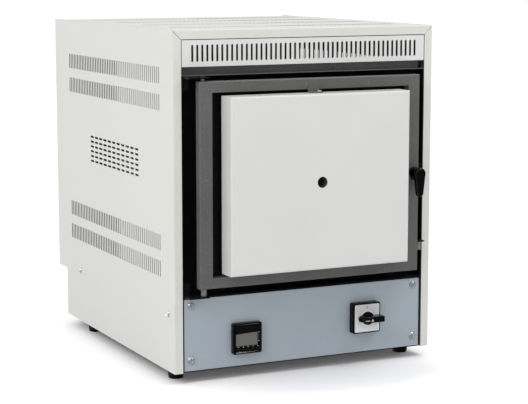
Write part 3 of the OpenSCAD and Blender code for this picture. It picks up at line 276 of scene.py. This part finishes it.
FINISH = {
    "casing_paint": surface(
        "casing_paint_coat", srgb(195, 195, 190), 0.42, patch=0.012, grain=0.02, grain_scale=900.0,
        bump=0.12, bump_depth=0.0001, Coat_Weight=0.12, Coat_Roughness=0.25,
    ),
    "strip_paint": surface(
        "strip_paint_coat", srgb(198, 199, 197), 0.42, patch=0.015, grain=0.03, bump=0.12,
        bump_depth=0.0001, Coat_Weight=0.1, Coat_Roughness=0.3,
    ),
    "cover_paint": surface(
        "cover_paint_coat", srgb(192, 193, 190), 0.44, patch=0.012, grain=0.025, grain_scale=800.0,
        bump=0.12, bump_depth=0.0001, Coat_Weight=0.08, Coat_Roughness=0.3,
    ),
    "panel_paint": surface(
        "panel_paint_coat", srgb(149, 159, 167), 0.46, patch=0.02, grain=0.05, grain_scale=650.0,
        bump=0.18, bump_depth=0.00015, Coat_Weight=0.25, Coat_Roughness=0.18,
    ),
    "dark_paint": speckled("dark_texture_coat", srgb(92, 91, 90), srgb(156, 154, 152), 0.45),
    "black_paint": surface(
        "black_paint_coat", srgb(13, 13, 14), 0.5, patch=0.1, grain=0.2, grain_scale=500.0,
        bump=0.3, bump_depth=0.0003, Specular_IOR_Level=0.2,
    ),
    "zinc_steel": surface(
        "zinc_spangle", srgb(144, 144, 142), 0.4, 0.45, patch=0.09, patch_scale=90.0, grain=0.08,
        rough_var=0.1, bump=0.08,
    ),
    "bright_steel": surface(
        "bright_steel_turned", srgb(236, 236, 235), 0.26, 0.75, patch=0.05, patch_scale=160.0,
        grain=0.06, grain_scale=2500.0, rough_var=0.06, bump=0.05, bump_depth=0.00003,
    ),
    "fibre": surface(
        "ceramic_fibre", srgb(226, 221, 208), 0.95, patch=0.05, patch_scale=30.0, grain=0.16,
        grain_scale=420.0, grain_stretch=(1, 1, 2.5), bump=0.8, bump_depth=0.0009,
    ),
    "ceramic": surface(
        "fired_ceramic", srgb(222, 214, 200), 0.72, patch=0.06, patch_scale=22.0, grain=0.12,
        grain_scale=900.0, bump=0.35, bump_depth=0.0003,
    ),
    "heating_wire": surface(
        "oxidised_wire", srgb(84, 78, 72), 0.55, 0.8, patch=0.2, patch_scale=60.0, grain=0.2,
        bump=0.3,
    ),
    "black_plastic": surface(
        "black_moulding", srgb(6, 6, 7), 0.24, patch=0.1, grain=0.12, grain_scale=900.0,
        rough_var=0.05, bump=0.06, bump_depth=0.0001, Specular_IOR_Level=0.14,
    ),
    "handle_black": surface(
        "handle_moulding", srgb(6, 6, 7), 0.2, patch=0.1, grain=0.1, grain_scale=900.0,
        rough_var=0.04, bump=0.05, bump_depth=0.0001, Specular_IOR_Level=0.3,
    ),
    "gloss_black": surface(
        "gloss_moulding", srgb(4, 4, 5), 0.16, patch=0.12, grain=0.1, grain_scale=1100.0,
        rough_var=0.04, bump=0.04, bump_depth=0.00005, Specular_IOR_Level=0.35,
    ),
    "key_rubber": surface(
        "key_rubber_skin", srgb(16, 16, 17), 0.5, patch=0.1, grain=0.15, grain_scale=1200.0,
        bump=0.1, Specular_IOR_Level=0.25,
    ),
    "window": surface(
        "window_glass", srgb(40, 39, 38), 0.12, patch=0.05, grain=0.04, rough_var=0.03, bump=0.02,
        Coat_Weight=0.6, Coat_Roughness=0.05,
    ),
    "legend_plate": surface(
        "brushed_plate", srgb(240, 240, 241), 0.42, 0.3, patch=0.03, grain=0.1,
        grain_scale=1600.0, grain_stretch=(0.04, 1, 1), bump=0.1, bump_depth=0.00005,
    ),
    "sink_aluminium": surface(
        "extruded_aluminium", srgb(190, 192, 195), 0.35, 1.0, patch=0.05, grain=0.12,
        grain_stretch=(1, 1, 0.05), bump=0.15,
    ),
    "relay_case": surface(
        "relay_moulding", srgb(58, 60, 64), 0.5, patch=0.08, grain=0.1, bump=0.15,
    ),
    "brass": surface(
        "brass_turned", srgb(206, 172, 98), 0.28, 1.0, patch=0.06, patch_scale=120.0, grain=0.08,
        bump=0.08,
    ),
    "rubber": surface(
        "rubber_foot_skin", srgb(12, 12, 13), 0.6, patch=0.15, patch_scale=60.0, grain=0.2,
        grain_scale=800.0, bump=0.25, bump_depth=0.0002, Specular_IOR_Level=0.2,
    ),
}
# Painted shade inside the casing, on the coats that have vent slots
for coat in ("casing_paint", "strip_paint"):
    shade_inside_faces(FINISH[coat])

# Painted reflection: the brushed plate is paler towards its lower edge, as if it showed the pale
# floor, and darker above; the heights are in metres
PLATE_REFLECTION_Z, PLATE_SHADE_Z = 0.055, 0.085
plate_tree = FINISH["legend_plate"].node_tree
plate_height = parts_of(plate_tree, object_point(plate_tree))["Z"]
shaded(FINISH["legend_plate"], plate_height, [
    (PLATE_REFLECTION_Z, WHITE), (PLATE_SHADE_Z, (0.72, 0.72, 0.73, 1.0)),
])

# Bright silver for the ring round the knob's foot: a painted highlight where the foot's edge
# catches light
RING_HIGHLIGHT = surface(
    "ring_highlight_silver", srgb(244, 244, 243), 0.3, 0.15, patch=0.02, grain=0.04, grain_scale=2200.0,
    bump=0.03, bump_depth=0.00003,
)
PRINT_GREY = surface(
    "print_grey", srgb(168, 168, 168), 0.5, patch=0.03, grain=0.06, grain_scale=2200.0, bump=0.05,
)
PRINT_WHITE = surface(
    "print_white", srgb(168, 172, 175), 0.5, patch=0.03, grain=0.06, grain_scale=2200.0, bump=0.05,
)
PRINT_DARK = surface(
    "print_dark", srgb(62, 62, 66), 0.55, patch=0.08, grain=0.1, grain_scale=2200.0, bump=0.05,
)
SCREEN_DARK = surface(
    "screen_dark", srgb(11, 11, 13), 0.16, patch=0.1, grain=0.06, grain_scale=2000.0,
    rough_var=0.03, bump=0.02, Specular_IOR_Level=0.3,
)
# Grey of the unlit screen, with a painted reflection in its glass
SCREEN_AND_REFLECTION_GREY = surface(
    "screen_and_reflection_grey", srgb(99, 97, 93), 0.35, patch=0.03, grain=0.06, grain_scale=2400.0, bump=0.03,
)

slot_of = {}
for node_name, node in nodes.items():
    slot_of[node_name] = node.data.materials[0].name.split(".")[0]
    for holder in node.material_slots:
        holder.material = FINISH[slot_of[node_name]]


# Outlines: points in X and Z, in millimetres


def arc(cx, cz, r, start, end, count):
    return [
        (
            cx + r * math.cos(math.radians(start + (end - start) * i / count)),
            cz + r * math.sin(math.radians(start + (end - start) * i / count)),
        )
        for i in range(count + 1)
    ]


def circle(r, count):
    return arc(0, 0, r, 0, 360 - 360 / count, count - 1)


def rounded_rect(w, h, r, inset=0.0, count=6):
    """Outline of a rectangle round the origin with round corners, less an inset all round."""
    r = max(r, 0.05)
    x, z = (w - 2 * inset) / 2 - r, (h - 2 * inset) / 2 - r
    return (
        arc(x, z, r, 0, 90, count) + arc(-x, z, r, 90, 180, count)
        + arc(-x, -z, r, 180, 270, count) + arc(x, -z, r, 270, 360, count)
    )


def drop(r1, r2, length, count=20):
    """Outline of a drop: a circle at the origin and a smaller one below it."""
    lean = math.degrees(math.asin((r1 - r2) / length))
    return arc(0, 0, r1, -lean, 180 + lean, count) + arc(
        0, -length, r2, 180 + lean, 360 - lean, count
    )


def placed(outline, x, y, z):
    return [(x + p, y, z + q) for p, q in outline]


def turned(x, z, profile):
    """Rings of a turned form whose axis is the Y line through x, z; profile is (y, radius)."""
    return [placed(circle(r, 40), x, y, z) for y, r in profile]


# Mesh helpers


def skin(loops, ends=True):
    """Form through loops of points, with a cap at both ends or closed to a ring."""
    bm = bmesh.new()
    rows = [[bm.verts.new(p) for p in loop] for loop in loops]
    pairs = list(zip(rows, rows[1:]))
    if not ends:
        pairs.append((rows[-1], rows[0]))
    for a, b in pairs:
        for i in range(len(a)):
            j = (i + 1) % len(a)
            bm.faces.new((a[i], a[j], b[j], b[i]))
    if ends:
        bm.faces.new(rows[0])
        bm.faces.new(rows[-1])
    return bm


def loft(rings, ends=True):
    """Form through rings of points in casing millimetres."""
    return skin([[at(*p) for p in ring] for ring in rings], ends)


def flat_mark(outline, x, y, z, thick=0.15):
    """A printed mark: an outline in X and Z, just proud of the face at y."""
    return loft([placed(outline, x, y, z), placed(outline, x, y - thick, z)])


def merged(*parts):
    """One form out of several, which are used up."""
    whole = bmesh.new()
    for part in parts:
        part_mesh = bpy.data.meshes.new("part")
        part.to_mesh(part_mesh)
        part.free()
        whole.from_mesh(part_mesh)
        bpy.data.meshes.remove(part_mesh)
    return whole


def finished_mesh(name, bm, sharp=35.0):
    """Mesh with outward normals and smooth shading, apart from its sharp edges."""
    bmesh.ops.recalc_face_normals(bm, faces=bm.faces)
    for face in bm.faces:
        face.smooth = True
    for edge in bm.edges:
        if len(edge.link_faces) == 2:
            edge.smooth = edge.calc_face_angle(0.0) < math.radians(sharp)
    mesh = bpy.data.meshes.new(name)
    bm.to_mesh(mesh)
    bm.free()
    return mesh


def put(name, mesh, body, finish, slot, stands_for=()):
    """A mesh as a piece of the object that rides on a body."""
    piece = bpy.data.objects.new(name, mesh)
    bpy.context.scene.collection.objects.link(piece)
    mesh.materials.clear()
    mesh.materials.append(finish)
    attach(piece, body)
    if stands_for:
        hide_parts(*stands_for)
    return piece


def put_form(name, bm, sharp, *rest):
    """A form as a piece; the rest is as for put, from the body on."""
    return put(name, finished_mesh(name, bm, sharp), *rest)


def carve(piece, *cutters):
    """Cuts the cutters out of a piece and leaves a plain mesh."""
    for cutter_bm in cutters:
        cutter = bpy.data.objects.new("cutter", finished_mesh("cutter", cutter_bm))
        bpy.context.scene.collection.objects.link(cutter)
        modifier = piece.modifiers.new("cut", "BOOLEAN")
        modifier.operation = "DIFFERENCE"
        modifier.solver = "EXACT"
        modifier.object = cutter
        graph = bpy.context.evaluated_depsgraph_get()
        result = bpy.data.meshes.new_from_object(piece.evaluated_get(graph))
        piece.modifiers.clear()
        bm = bmesh.new()
        bm.from_mesh(result)
        bmesh.ops.remove_doubles(bm, verts=bm.verts, dist=1e-7)
        material = piece.data.materials[0]
        piece.data = finished_mesh(piece.name, bm)
        piece.data.materials.append(material)
        bpy.data.objects.remove(cutter)


def dressed(node, width):
    """A copy of a CAD node with edges rounded by a width in mm, which stands for the node."""
    source = nodes[node]
    bm = bmesh.new()
    bm.from_mesh(source.data)
    bmesh.ops.remove_doubles(bm, verts=bm.verts, dist=1e-6)
    bmesh.ops.dissolve_limit(
        bm, angle_limit=math.radians(0.5), verts=bm.verts, edges=bm.edges
    )
    mesh = finished_mesh(node + "_form", bm, 60.0)
    slot = slot_of[node]
    piece = put(node + "_piece", mesh, body_of(source)[0], FINISH[slot], slot, (node,))
    modifier = piece.modifiers.new("soft_edges", "BEVEL")
    modifier.width = width / 1000
    modifier.segments = 2
    modifier.limit_method = "ANGLE"
    modifier.angle_limit = math.radians(30.0)
    modifier.harden_normals = True


# Folded and cut pieces: the CAD form with soft edges

SOFT_EDGES = {
    "door_frame": 1.0, "cover_tabs": 0.5, "door_header": 0.6, "door_sill": 0.4,
    "recess_sides": 0.3, "hinge_brackets": 0.4, "latch_keeper": 0.3, "door_switch": 0.3,
    "door_switch_tongue": 0.4, "door_pan": 0.8, "door_insulation": 2.0,
    "mouth_collar": 2.0, "muffle": 1.0, "hearth_plate": 1.5, "door_seal": 1.8,
    "front_plate": 0.3, "support_rails": 0.4, "divider_shelf": 0.2,
    "controller_case": 1.0, "solid_state_relay": 0.8, "heat_sink": 0.3,
    "latch_cam": 0.4, "control_panel": 0.7, "inner_casing": 0.3, "insulation_lower": 1.5,
    "insulation_upper": 1.5, "hinge_pins": 0.3, "cover_screws": 0.25, "rubber_feet": 2.2,
}
for name, width in SOFT_EDGES.items():
    dressed(name, width)


# Latch handle: a drop-shaped lever on a hub

SPINDLE_X = 176.0
LEVER_R, LEVER_TIP_R, LEVER_REACH = 9.0, 5.5, 36.0
spindle_z = casing_box("latch_handle")[1].z - LEVER_R
lever_rings = [
    placed(
        drop(LEVER_R - inset, LEVER_TIP_R - inset, LEVER_REACH - LEVER_TIP_R),
        SPINDLE_X, y, spindle_z,
    )
    for y, inset in (
        (-36.0, 2.0), (-36.2, 1.2), (-36.7, 0.5), (-37.5, 0.05), (-38.5, 0), (-42.2, 0),
        (-43.6, 0.25), (-44.7, 0.8), (-45.5, 1.7), (-45.9, 2.8), (-46.0, 4.2),
    )
]
put_form("latch_lever", loft(lever_rings), 50, "latch", FINISH["handle_black"], "black_plastic",
         ("latch_handle",))
lever_hub_rings = [
    placed(drop(8.8 - inset, 5.6 - inset, 7.0), SPINDLE_X, y, spindle_z)
    for y, inset in (
        (-21.4, 0.8), (-21.8, 0.2), (-22.6, 0.0), (-30.0, 0.3), (-34.0, 0.5), (-37.5, 0.2),
    )
]
put_form("latch_hub", loft(lever_hub_rings), 50, "latch", FINISH["handle_black"], "black_plastic")


# Main switch: bezel, brushed plate, a ring of painted highlight, marks and knob

SWITCH_X, SWITCH_Z = 102.0, 58.0
BEZEL_W = 48.0
PLATE_W = 43.4
bezel_front = casing_box("switch_bezel")[0].y
bezel_rings = [
    placed(rounded_rect(BEZEL_W, BEZEL_W, 3.0 - 0.6 * inset, inset), SWITCH_X, y, SWITCH_Z)
    for y, inset in (
        (PANEL_FRONT, 0.0), (bezel_front + 1.8, 0.0), (bezel_front + 0.7, 0.25),
        (bezel_front + 0.15, 0.8), (bezel_front, 1.4), (bezel_front + 0.2, 2.0),
        (bezel_front + 0.8, 2.3),
    )
]
put_form("switch_bezel_piece", loft(bezel_rings), 50, "casing", FINISH["black_plastic"],
         "black_plastic", ("switch_bezel",))
plate_rings = [
    placed(rounded_rect(PLATE_W, PLATE_W, 1.4, inset), SWITCH_X, y, SWITCH_Z)
    for y, inset in (
        (bezel_front + 0.9, 0.0), (bezel_front - 0.1, 0.0), (bezel_front - 0.2, 0.1),
    )
]
put_form("switch_plate_piece", loft(plate_rings), 50, "casing", FINISH["legend_plate"],
         "legend_plate", ("switch_plate",))
# A bright ring round the knob's foot: a painted highlight for the light on the foot's edge
highlight_ring_rings = turned(SWITCH_X, SWITCH_Z, [
    (bezel_front - 0.1, 12.0), (bezel_front - 0.45, 11.9), (bezel_front - 0.6, 11.6),
    (bezel_front - 0.6, 10.9), (bezel_front - 0.1, 10.6),
])
put_form("switch_highlight_ring", loft(highlight_ring_rings, False), 50, "casing", RING_HIGHLIGHT, "legend_plate")

# The mark I above the knob and the 0 to its right
ONE_UP, ZERO_RIGHT = 17.6, 18
plate_face = bezel_front - 0.15
one_mark = flat_mark(rounded_rect(0.9, 3.6, 0.2), SWITCH_X, plate_face, SWITCH_Z + ONE_UP)
zero_outer = [(1.2 * p, 1.8 * q) for p, q in circle(1, 36)]
zero_inner = [(0.7 * p, 1.25 * q) for p, q in circle(1, 36)]
zero_mark = loft([
    placed(outline, SWITCH_X + ZERO_RIGHT, y, SWITCH_Z)
    for outline, y in (
        (zero_outer, plate_face), (zero_outer, plate_face - 0.15),
        (zero_inner, plate_face - 0.15), (zero_inner, plate_face),
    )
], False)
put_form("switch_marks", merged(one_mark, zero_mark), 35, "casing", PRINT_DARK, "legend_plate")

GRIP_W = 9.5
FOOT_R, TAIL_R = 10.5, 3.0
knob_lo, knob_hi = casing_box("switch_knob")
knob_front = knob_lo.y
grip_right, tail_reach = knob_hi.x - SWITCH_X, SWITCH_X - knob_lo.x
foot_front = bezel_front - 5.0


def tail_drop(inset):
    """The foot's outline: a drop whose tail points left."""
    outline = drop(FOOT_R - inset, TAIL_R - inset, tail_reach - TAIL_R)
    return [(q, -p) for p, q in outline]


knob_foot = loft([
    placed(tail_drop(inset), SWITCH_X, y, SWITCH_Z)
    for y, inset in (
        (bezel_front - 0.75, 0.3), (bezel_front - 1.0, 0.0), (foot_front + 0.8, 0.0),
        (foot_front + 0.2, 0.35), (foot_front, 1.0),
    )
])
knob_dome = loft(turned(SWITCH_X, SWITCH_Z, [
    (foot_front + 0.5, 9.0), (foot_front - 0.7, 9.0), (foot_front - 1.2, 8.4),
    (foot_front - 1.5, 7.0), (foot_front - 1.5, 3.0),
]))
# The grip's left end leans to the right towards the front
GRIP_LEAN = 5.5
grip_rings = []
grip_back = bezel_front - 2.0
for y, inset in (
    (grip_back, 0.5), (grip_back - 0.5, 0.1), (grip_back - 3.0, 0.0),
    (knob_front + 3.0, 0.0), (knob_front + 0.7, 0.05), (knob_front + 0.2, 0.35),
    (knob_front, 0.9),
):
    depth = (grip_back - y) / (grip_back - knob_front)
    left = tail_reach - GRIP_LEAN * depth
    outline = rounded_rect(left + grip_right, GRIP_W, 1.8 - inset, inset, 8)
    grip_rings.append(placed(outline, SWITCH_X + (grip_right - left) / 2, y, SWITCH_Z))
put_form("switch_knob_piece", merged(knob_foot, knob_dome, loft(grip_rings)), 45, "switch_knob",
         FINISH["handle_black"], "black_plastic", ("switch_knob",))
mark_face = knob_front + 0.05
dash = flat_mark(rounded_rect(7.6, 1.1, 0.3), SWITCH_X - 8.0, mark_face, SWITCH_Z - 1.0)
pointer = flat_mark([(-2.2, -1.9), (2.2, -1.9), (0.4, 1.9), (-0.4, 1.9)], SWITCH_X + 0.6,
                    mark_face, SWITCH_Z - 0.6)
put_form("switch_knob_marks", merged(dash, pointer), 35, "switch_knob", PRINT_WHITE,
         "black_plastic")


# Temperature controller: rounded bezel, keys, screen and marks

ctl_lo, ctl_hi = casing_box("controller_bezel")
CONTROL_X, CONTROL_Z = (ctl_lo.x + ctl_hi.x) / 2, (ctl_lo.z + ctl_hi.z) / 2
ctl_front = ctl_lo.y
fascia = ctl_front + 1.1
ctl_rings = [
    placed(rounded_rect(BEZEL_W, BEZEL_W, max(0.8, 3.2 - 0.5 * inset), inset),
           CONTROL_X, y, CONTROL_Z)
    for y, inset in (
        (PANEL_FRONT, 0.0), (ctl_front + 3.2, 0.0), (ctl_front + 1.4, 0.2),
        (ctl_front + 0.8, 0.7), (ctl_front + 0.6, 1.2), (ctl_front + 0.6, 1.8),
        (ctl_front, 2.58), (ctl_front + 0.1, 2.7), (fascia, 4.0),
    )
]
ctl_bezel = put_form("controller_bezel_piece", loft(ctl_rings), 30, "casing",
                     FINISH["gloss_black"], "gloss_black", ("controller_bezel",))
win_lo, win_hi = casing_box("controller_window")
win_x, win_z = (win_lo.x + win_hi.x) / 2, (win_lo.z + win_hi.z) / 2
win_w, win_h = win_hi.x - win_lo.x, win_hi.z - win_lo.z
window_back = fascia + 1.6


def opening(w, h, r, x, z, back):
    """A cutter through the fascia, which ends at y = back."""
    outline = rounded_rect(w, h, r)
    return loft([placed(outline, x, fascia - 1, z), placed(outline, x, back, z)])


# Marks above the keys: a bar, a circle, a bar and a triangle each way
KEY_MARKS = (
    rounded_rect(2.4, 0.8, 0.2), circle(0.8, 18), rounded_rect(2.4, 0.8, 0.2),
    [(-1.1, 0.7), (1.1, 0.7), (0, -0.8)], [(-1.1, -0.7), (1.1, -0.7), (0, 0.8)],
)
MARK_UP = 2.4
cutters = [opening(win_w + 0.2, win_h + 0.2, 1.0, win_x, win_z, window_back)]
for i, mark in enumerate(KEY_MARKS, 1):
    key_lo, key_hi = casing_box(f"controller_key_{i}")
    key_x, key_z = (key_lo.x + key_hi.x) / 2, (key_lo.z + key_hi.z) / 2
    key_w, key_h = key_hi.x - key_lo.x, key_hi.z - key_lo.z
    cutters.append(opening(key_w + 0.4, key_h + 0.4, 1.2, key_x, key_z, ctl_front + 4))
    key_rings = [
        placed(rounded_rect(key_w, key_h, 1.3 - 0.4 * inset, inset), key_x, y, key_z)
        for y, inset in (
            (key_hi.y, 0.0), (fascia - 0.5, 0.0), (fascia - 0.9, 0.12), (fascia - 1.15, 0.4),
            (fascia - 1.25, 0.9),
        )
    ]
    put_form(f"key_cap_{i}", loft(key_rings), 50, f"key_{i}", FINISH["key_rubber"], "key_rubber",
             (f"controller_key_{i}",))
    mark_z = key_z + key_h / 2 + MARK_UP
    put_form(f"key_mark_{i}", flat_mark(mark, key_x, fascia, mark_z, 0.1), 35, "casing",
             PRINT_GREY, "gloss_black")
carve(ctl_bezel, *cutters)

# The screen behind the glass: grey field under a dark band whose edge sags to the left; the grey
# is the unlit screen and also a painted reflection in the glass, which gives the sagging edge
glass_y = fascia + 0.25
put_form("controller_window_piece", loft([
    placed(rounded_rect(win_w, win_h, 0.9), win_x, window_back, win_z),
    placed(rounded_rect(win_w, win_h, 0.9), win_x, glass_y, win_z),
    placed(rounded_rect(win_w - 0.3, win_h - 0.3, 0.8), win_x, glass_y - 0.1, win_z),
]), 50, "casing", SCREEN_DARK, "window", ("controller_window",))
screen_w, screen_h = win_w - 0.6, win_h - 0.6
SAG_STEPS = 24
sagging_reflection_edge = [
    (
        screen_w * (k / SAG_STEPS - 0.5),
        screen_h * (0.12 + 0.05 * math.sin(math.pi / 2 * k / SAG_STEPS)),
    )
    for k in range(SAG_STEPS, -1, -1)
]
screen_and_reflection_field = [(-screen_w / 2, -screen_h / 2), (screen_w / 2, -screen_h / 2)] + sagging_reflection_edge
put_form("controller_screen", flat_mark(screen_and_reflection_field, win_x, glass_y - 0.1, win_z, 0.1), 35,
         "casing", SCREEN_AND_REFLECTION_GREY, "window")

# Two pale output marks with a dull bar between them, right of the screen
marks_x = CONTROL_X + 18.4
output_marks = merged(*(
    flat_mark(rounded_rect(2.4, 0.7, 0.2), marks_x, fascia, CONTROL_Z + z) for z in (8.3, -5.5)
))
put_form("controller_marks", output_marks, 35, "casing", PRINT_GREY, "gloss_black")
put_form("controller_bar",
         flat_mark(rounded_rect(1.6, 11.0, 0.3), marks_x, fascia, CONTROL_Z + 1.4), 35,
         "casing", FINISH["relay_case"], "relay_case")


# Screws with pan heads, a flat rim and a cross recess

SCREW_R, SCREW_H = 6.0, 2.6
SHANK_R, SHANK_L = 2.4, 8.0


def pan_head(radius, height):
    """A screw along Z with its seat at the origin, in millimetres."""
    profile = (
        (-SHANK_L, SHANK_R), (0.0, SHANK_R), (0.0, radius), (height * 0.25, radius),
        (height * 0.36, radius - 0.3), (height * 0.38, radius - 0.55),
        (height * 0.6, radius - 0.8), (height * 0.85, radius - 1.5),
        (height * 0.97, radius - 2.6), (height, radius - 3.6),
    )
    return skin([[(p, q, z) for p, q in circle(r, 36)] for z, r in profile])


def cross_cutter(reach, half, depth, top):
    """A tapered cross that cuts down from the top of a screw head."""
    outline = []
    for quarter in range(4):
        turn = Matrix.Rotation(quarter * math.pi / 2, 2)
        for p in ((reach, -half), (reach, half), (half, half)):
            outline.append(turn @ Vector(p))
    return skin([
        [(p.x, p.y, top + 0.5) for p in outline],
        [(p.x * 0.45, p.y * 0.45, top - depth) for p in outline],
    ])


def finished_screw(radius, height):
    piece = bpy.data.objects.new("screw", finished_mesh("screw", pan_head(radius, height)))
    piece.data.materials.append(FINISH["bright_steel"])
    bpy.context.scene.collection.objects.link(piece)
    carve(piece, cross_cutter(radius * 0.55, 0.8, height * 0.8, height))
    mesh = piece.data
    bpy.data.objects.remove(piece)
    return mesh


# Seats of the screws, as in part.scad, each with the turn that makes its head face outwards
PANEL_SCREW_X = 202.8 - 11.0
SIDE_X, SIDE_SCREW_Z = 220.0, 87.7
REAR_SCREW_X, REAR_COVER_Y, REAR_PANEL_Y = 212.0, 527.2, 485.2
screw_seats = []
for side in (-1, 1):
    for z in (18.0, 101.0):
        screw_seats.append((Vector((side * PANEL_SCREW_X, PANEL_FRONT, z)), "X", 90))
    for y in (24.0, 484.0 - 69.5):
        screw_seats.append((Vector((side * SIDE_X, y, SIDE_SCREW_Z)), "Y", 90 * side))
    for z in (97.0, (81.0 + 508.0) / 2, 492.0):
        screw_seats.append((Vector((side * REAR_SCREW_X, REAR_COVER_Y, z)), "X", -90))
    for z in (16.0, 67.0):
        screw_seats.append((Vector((side * REAR_SCREW_X, REAR_PANEL_Y, z)), "X", -90))
screw_mesh = finished_screw(SCREW_R, SCREW_H)
screws = []
for number, (seat, axis, angle) in enumerate(screw_seats):
    screw = bmesh.new()
    screw.from_mesh(screw_mesh)
    spin = Matrix.Rotation(math.radians(17 * number % 90), 4, "Z")
    lean = Matrix.Rotation(math.radians(angle), 4, axis)
    screw.transform(Matrix.Translation(at(*seat)) @ lean @ spin @ Matrix.Scale(0.001, 4))
    screws.append(screw)
put_form("case_screws_piece", merged(*screws), 30, "casing", FINISH["bright_steel"],
         "bright_steel", ("case_screws",))


# Floor

FLOOR_HALF = 150.0
FLOOR_GLOW = 0.05
# Painted shadow: the floor's colour is darker round a spot in front of the furnace; the painted
# shadow is shallower than wide
SHADE_X, SHADE_Y, SHADE_R, SHADE_FLAT = 0.05, -0.30, 0.3, 2.2

floor_white = surface(
    "floor_white", srgb(253, 253, 254), 0.85, patch=0.003, patch_scale=1.0, grain=0.004,
    grain_scale=60.0, bump=0.0, Emission_Color=WHITE, Emission_Strength=FLOOR_GLOW,
)
floor_tree = floor_white.node_tree
from_shadow_spot = mapping_node(
    floor_tree, object_point(floor_tree), Location=(-SHADE_X, -SHADE_Y * SHADE_FLAT, 0.0),
    Scale=(1.0, SHADE_FLAT, 1.0),
)
shaded(floor_white, vector_node(floor_tree, "LENGTH", from_shadow_spot)["Value"], [
    (0.0, (0.70, 0.70, 0.71, 1.0)), (SHADE_R * 0.4, (0.76, 0.76, 0.77, 1.0)), (SHADE_R, WHITE),
])


def floor_sheet(name, half, z):
    """A level square sheet round the origin, in metres."""
    bm = bmesh.new()
    corners = ((-half, -half), (half, -half), (half, half), (-half, half))
    bm.faces.new([bm.verts.new((x, y, z)) for x, y in corners])
    mesh = bpy.data.meshes.new(name)
    bm.to_mesh(mesh)
    bm.free()
    mesh.materials.append(floor_white)
    sheet = bpy.data.objects.new(name, mesh)
    bpy.context.scene.collection.objects.link(sheet)
    return sheet


# The gloss of the furnace doesn't show the floor
floor_sheet("floor", FLOOR_HALF, 0.0).visible_glossy = False


# Studio: in gloss it is white behind and above the furnace and dark in front of it

ROOM_WHITE, ROOM_DARK = 0.85, 0.07
world = bpy.data.worlds.new("studio")
bpy.context.scene.world = world
world.use_nodes = True
tree = world.node_tree
sky = tree.nodes["Background"]
sky.inputs["Color"].default_value = WHITE
sky.inputs["Strength"].default_value = 1.05
room = tree.nodes.new("ShaderNodeBackground")
room.inputs["Color"].default_value = (0.94, 0.97, 1.0, 1.0)
way = parts_of(tree, tree.nodes.new("ShaderNodeTexCoord").outputs["Generated"])
behind_furnace = range_node(tree, way["Y"], (-0.15, 0.35), (0.0, ROOM_WHITE))
above_furnace = range_node(tree, way["Z"], (0.65, 0.85), (0.0, ROOM_WHITE))
bright = maths_node(tree, "MAXIMUM", behind_furnace, above_furnace)
tree.links.new(maths_node(tree, "MAXIMUM", bright, ROOM_DARK), room.inputs["Strength"])
studio = tree.nodes.new("ShaderNodeMixShader")
rays = tree.nodes.new("ShaderNodeLightPath")
for source, socket in zip(
    (rays.outputs["Is Glossy Ray"], sky.outputs[0], room.outputs[0]), studio.inputs
):
    tree.links.new(source, socket)
tree.links.new(studio.outputs[0], tree.nodes["World Output"].inputs["Surface"])


def facing(direction):
    """The turn of a lamp or camera that looks along a direction."""
    return direction.to_track_quat("-Z", "Y").to_euler()


def soft_light(name, place, target, size, power):
    """A square lamp at a place, in metres, which looks at its target."""
    data = bpy.data.lights.new(name, "AREA")
    data.shape = "RECTANGLE"
    data.size = data.size_y = size
    data.energy = power
    lamp = bpy.data.objects.new(name, data)
    lamp.location = place
    lamp.rotation_euler = facing(Vector(target) - Vector(place))
    bpy.context.scene.collection.objects.link(lamp)


soft_light("key", (-2.6, -1.4, 2.2), (0, 0, 0.25), 1.2, 34)
soft_light("glint", (1.2, -1.26, 2.44), (0, -0.25, 0.25), 0.45, 15)
soft_light("top", (1.0, -0.5, 2.8), (0, 0, 0.25), 0.7, 6)


# Camera, solved from the straight edges of the casing in the photograph

CAMERA_AT = (-1.1383, -2.4509, 0.6287)
CAMERA_AZIMUTH, CAMERA_RISE = math.radians(-25.73), math.radians(8.33)
FOCAL_PX, FRAME_W, SENSOR_W = 1645.72, 528, 36.0
camera_data = bpy.data.cameras.new("camera")
camera_data.sensor_width = SENSOR_W
camera_data.lens = FOCAL_PX / FRAME_W * SENSOR_W
camera_data.clip_start, camera_data.clip_end = 0.05, 400.0
camera = bpy.data.objects.new("camera", camera_data)
bpy.context.scene.collection.objects.link(camera)
camera.location = CAMERA_AT
to_camera = Vector((
    math.sin(CAMERA_AZIMUTH) * math.cos(CAMERA_RISE),
    -math.cos(CAMERA_AZIMUTH) * math.cos(CAMERA_RISE),
    math.sin(CAMERA_RISE),
))
camera.rotation_euler = facing(-to_camera)
bpy.context.scene.camera = camera
bpy.context.scene.view_settings.view_transform = "Standard"
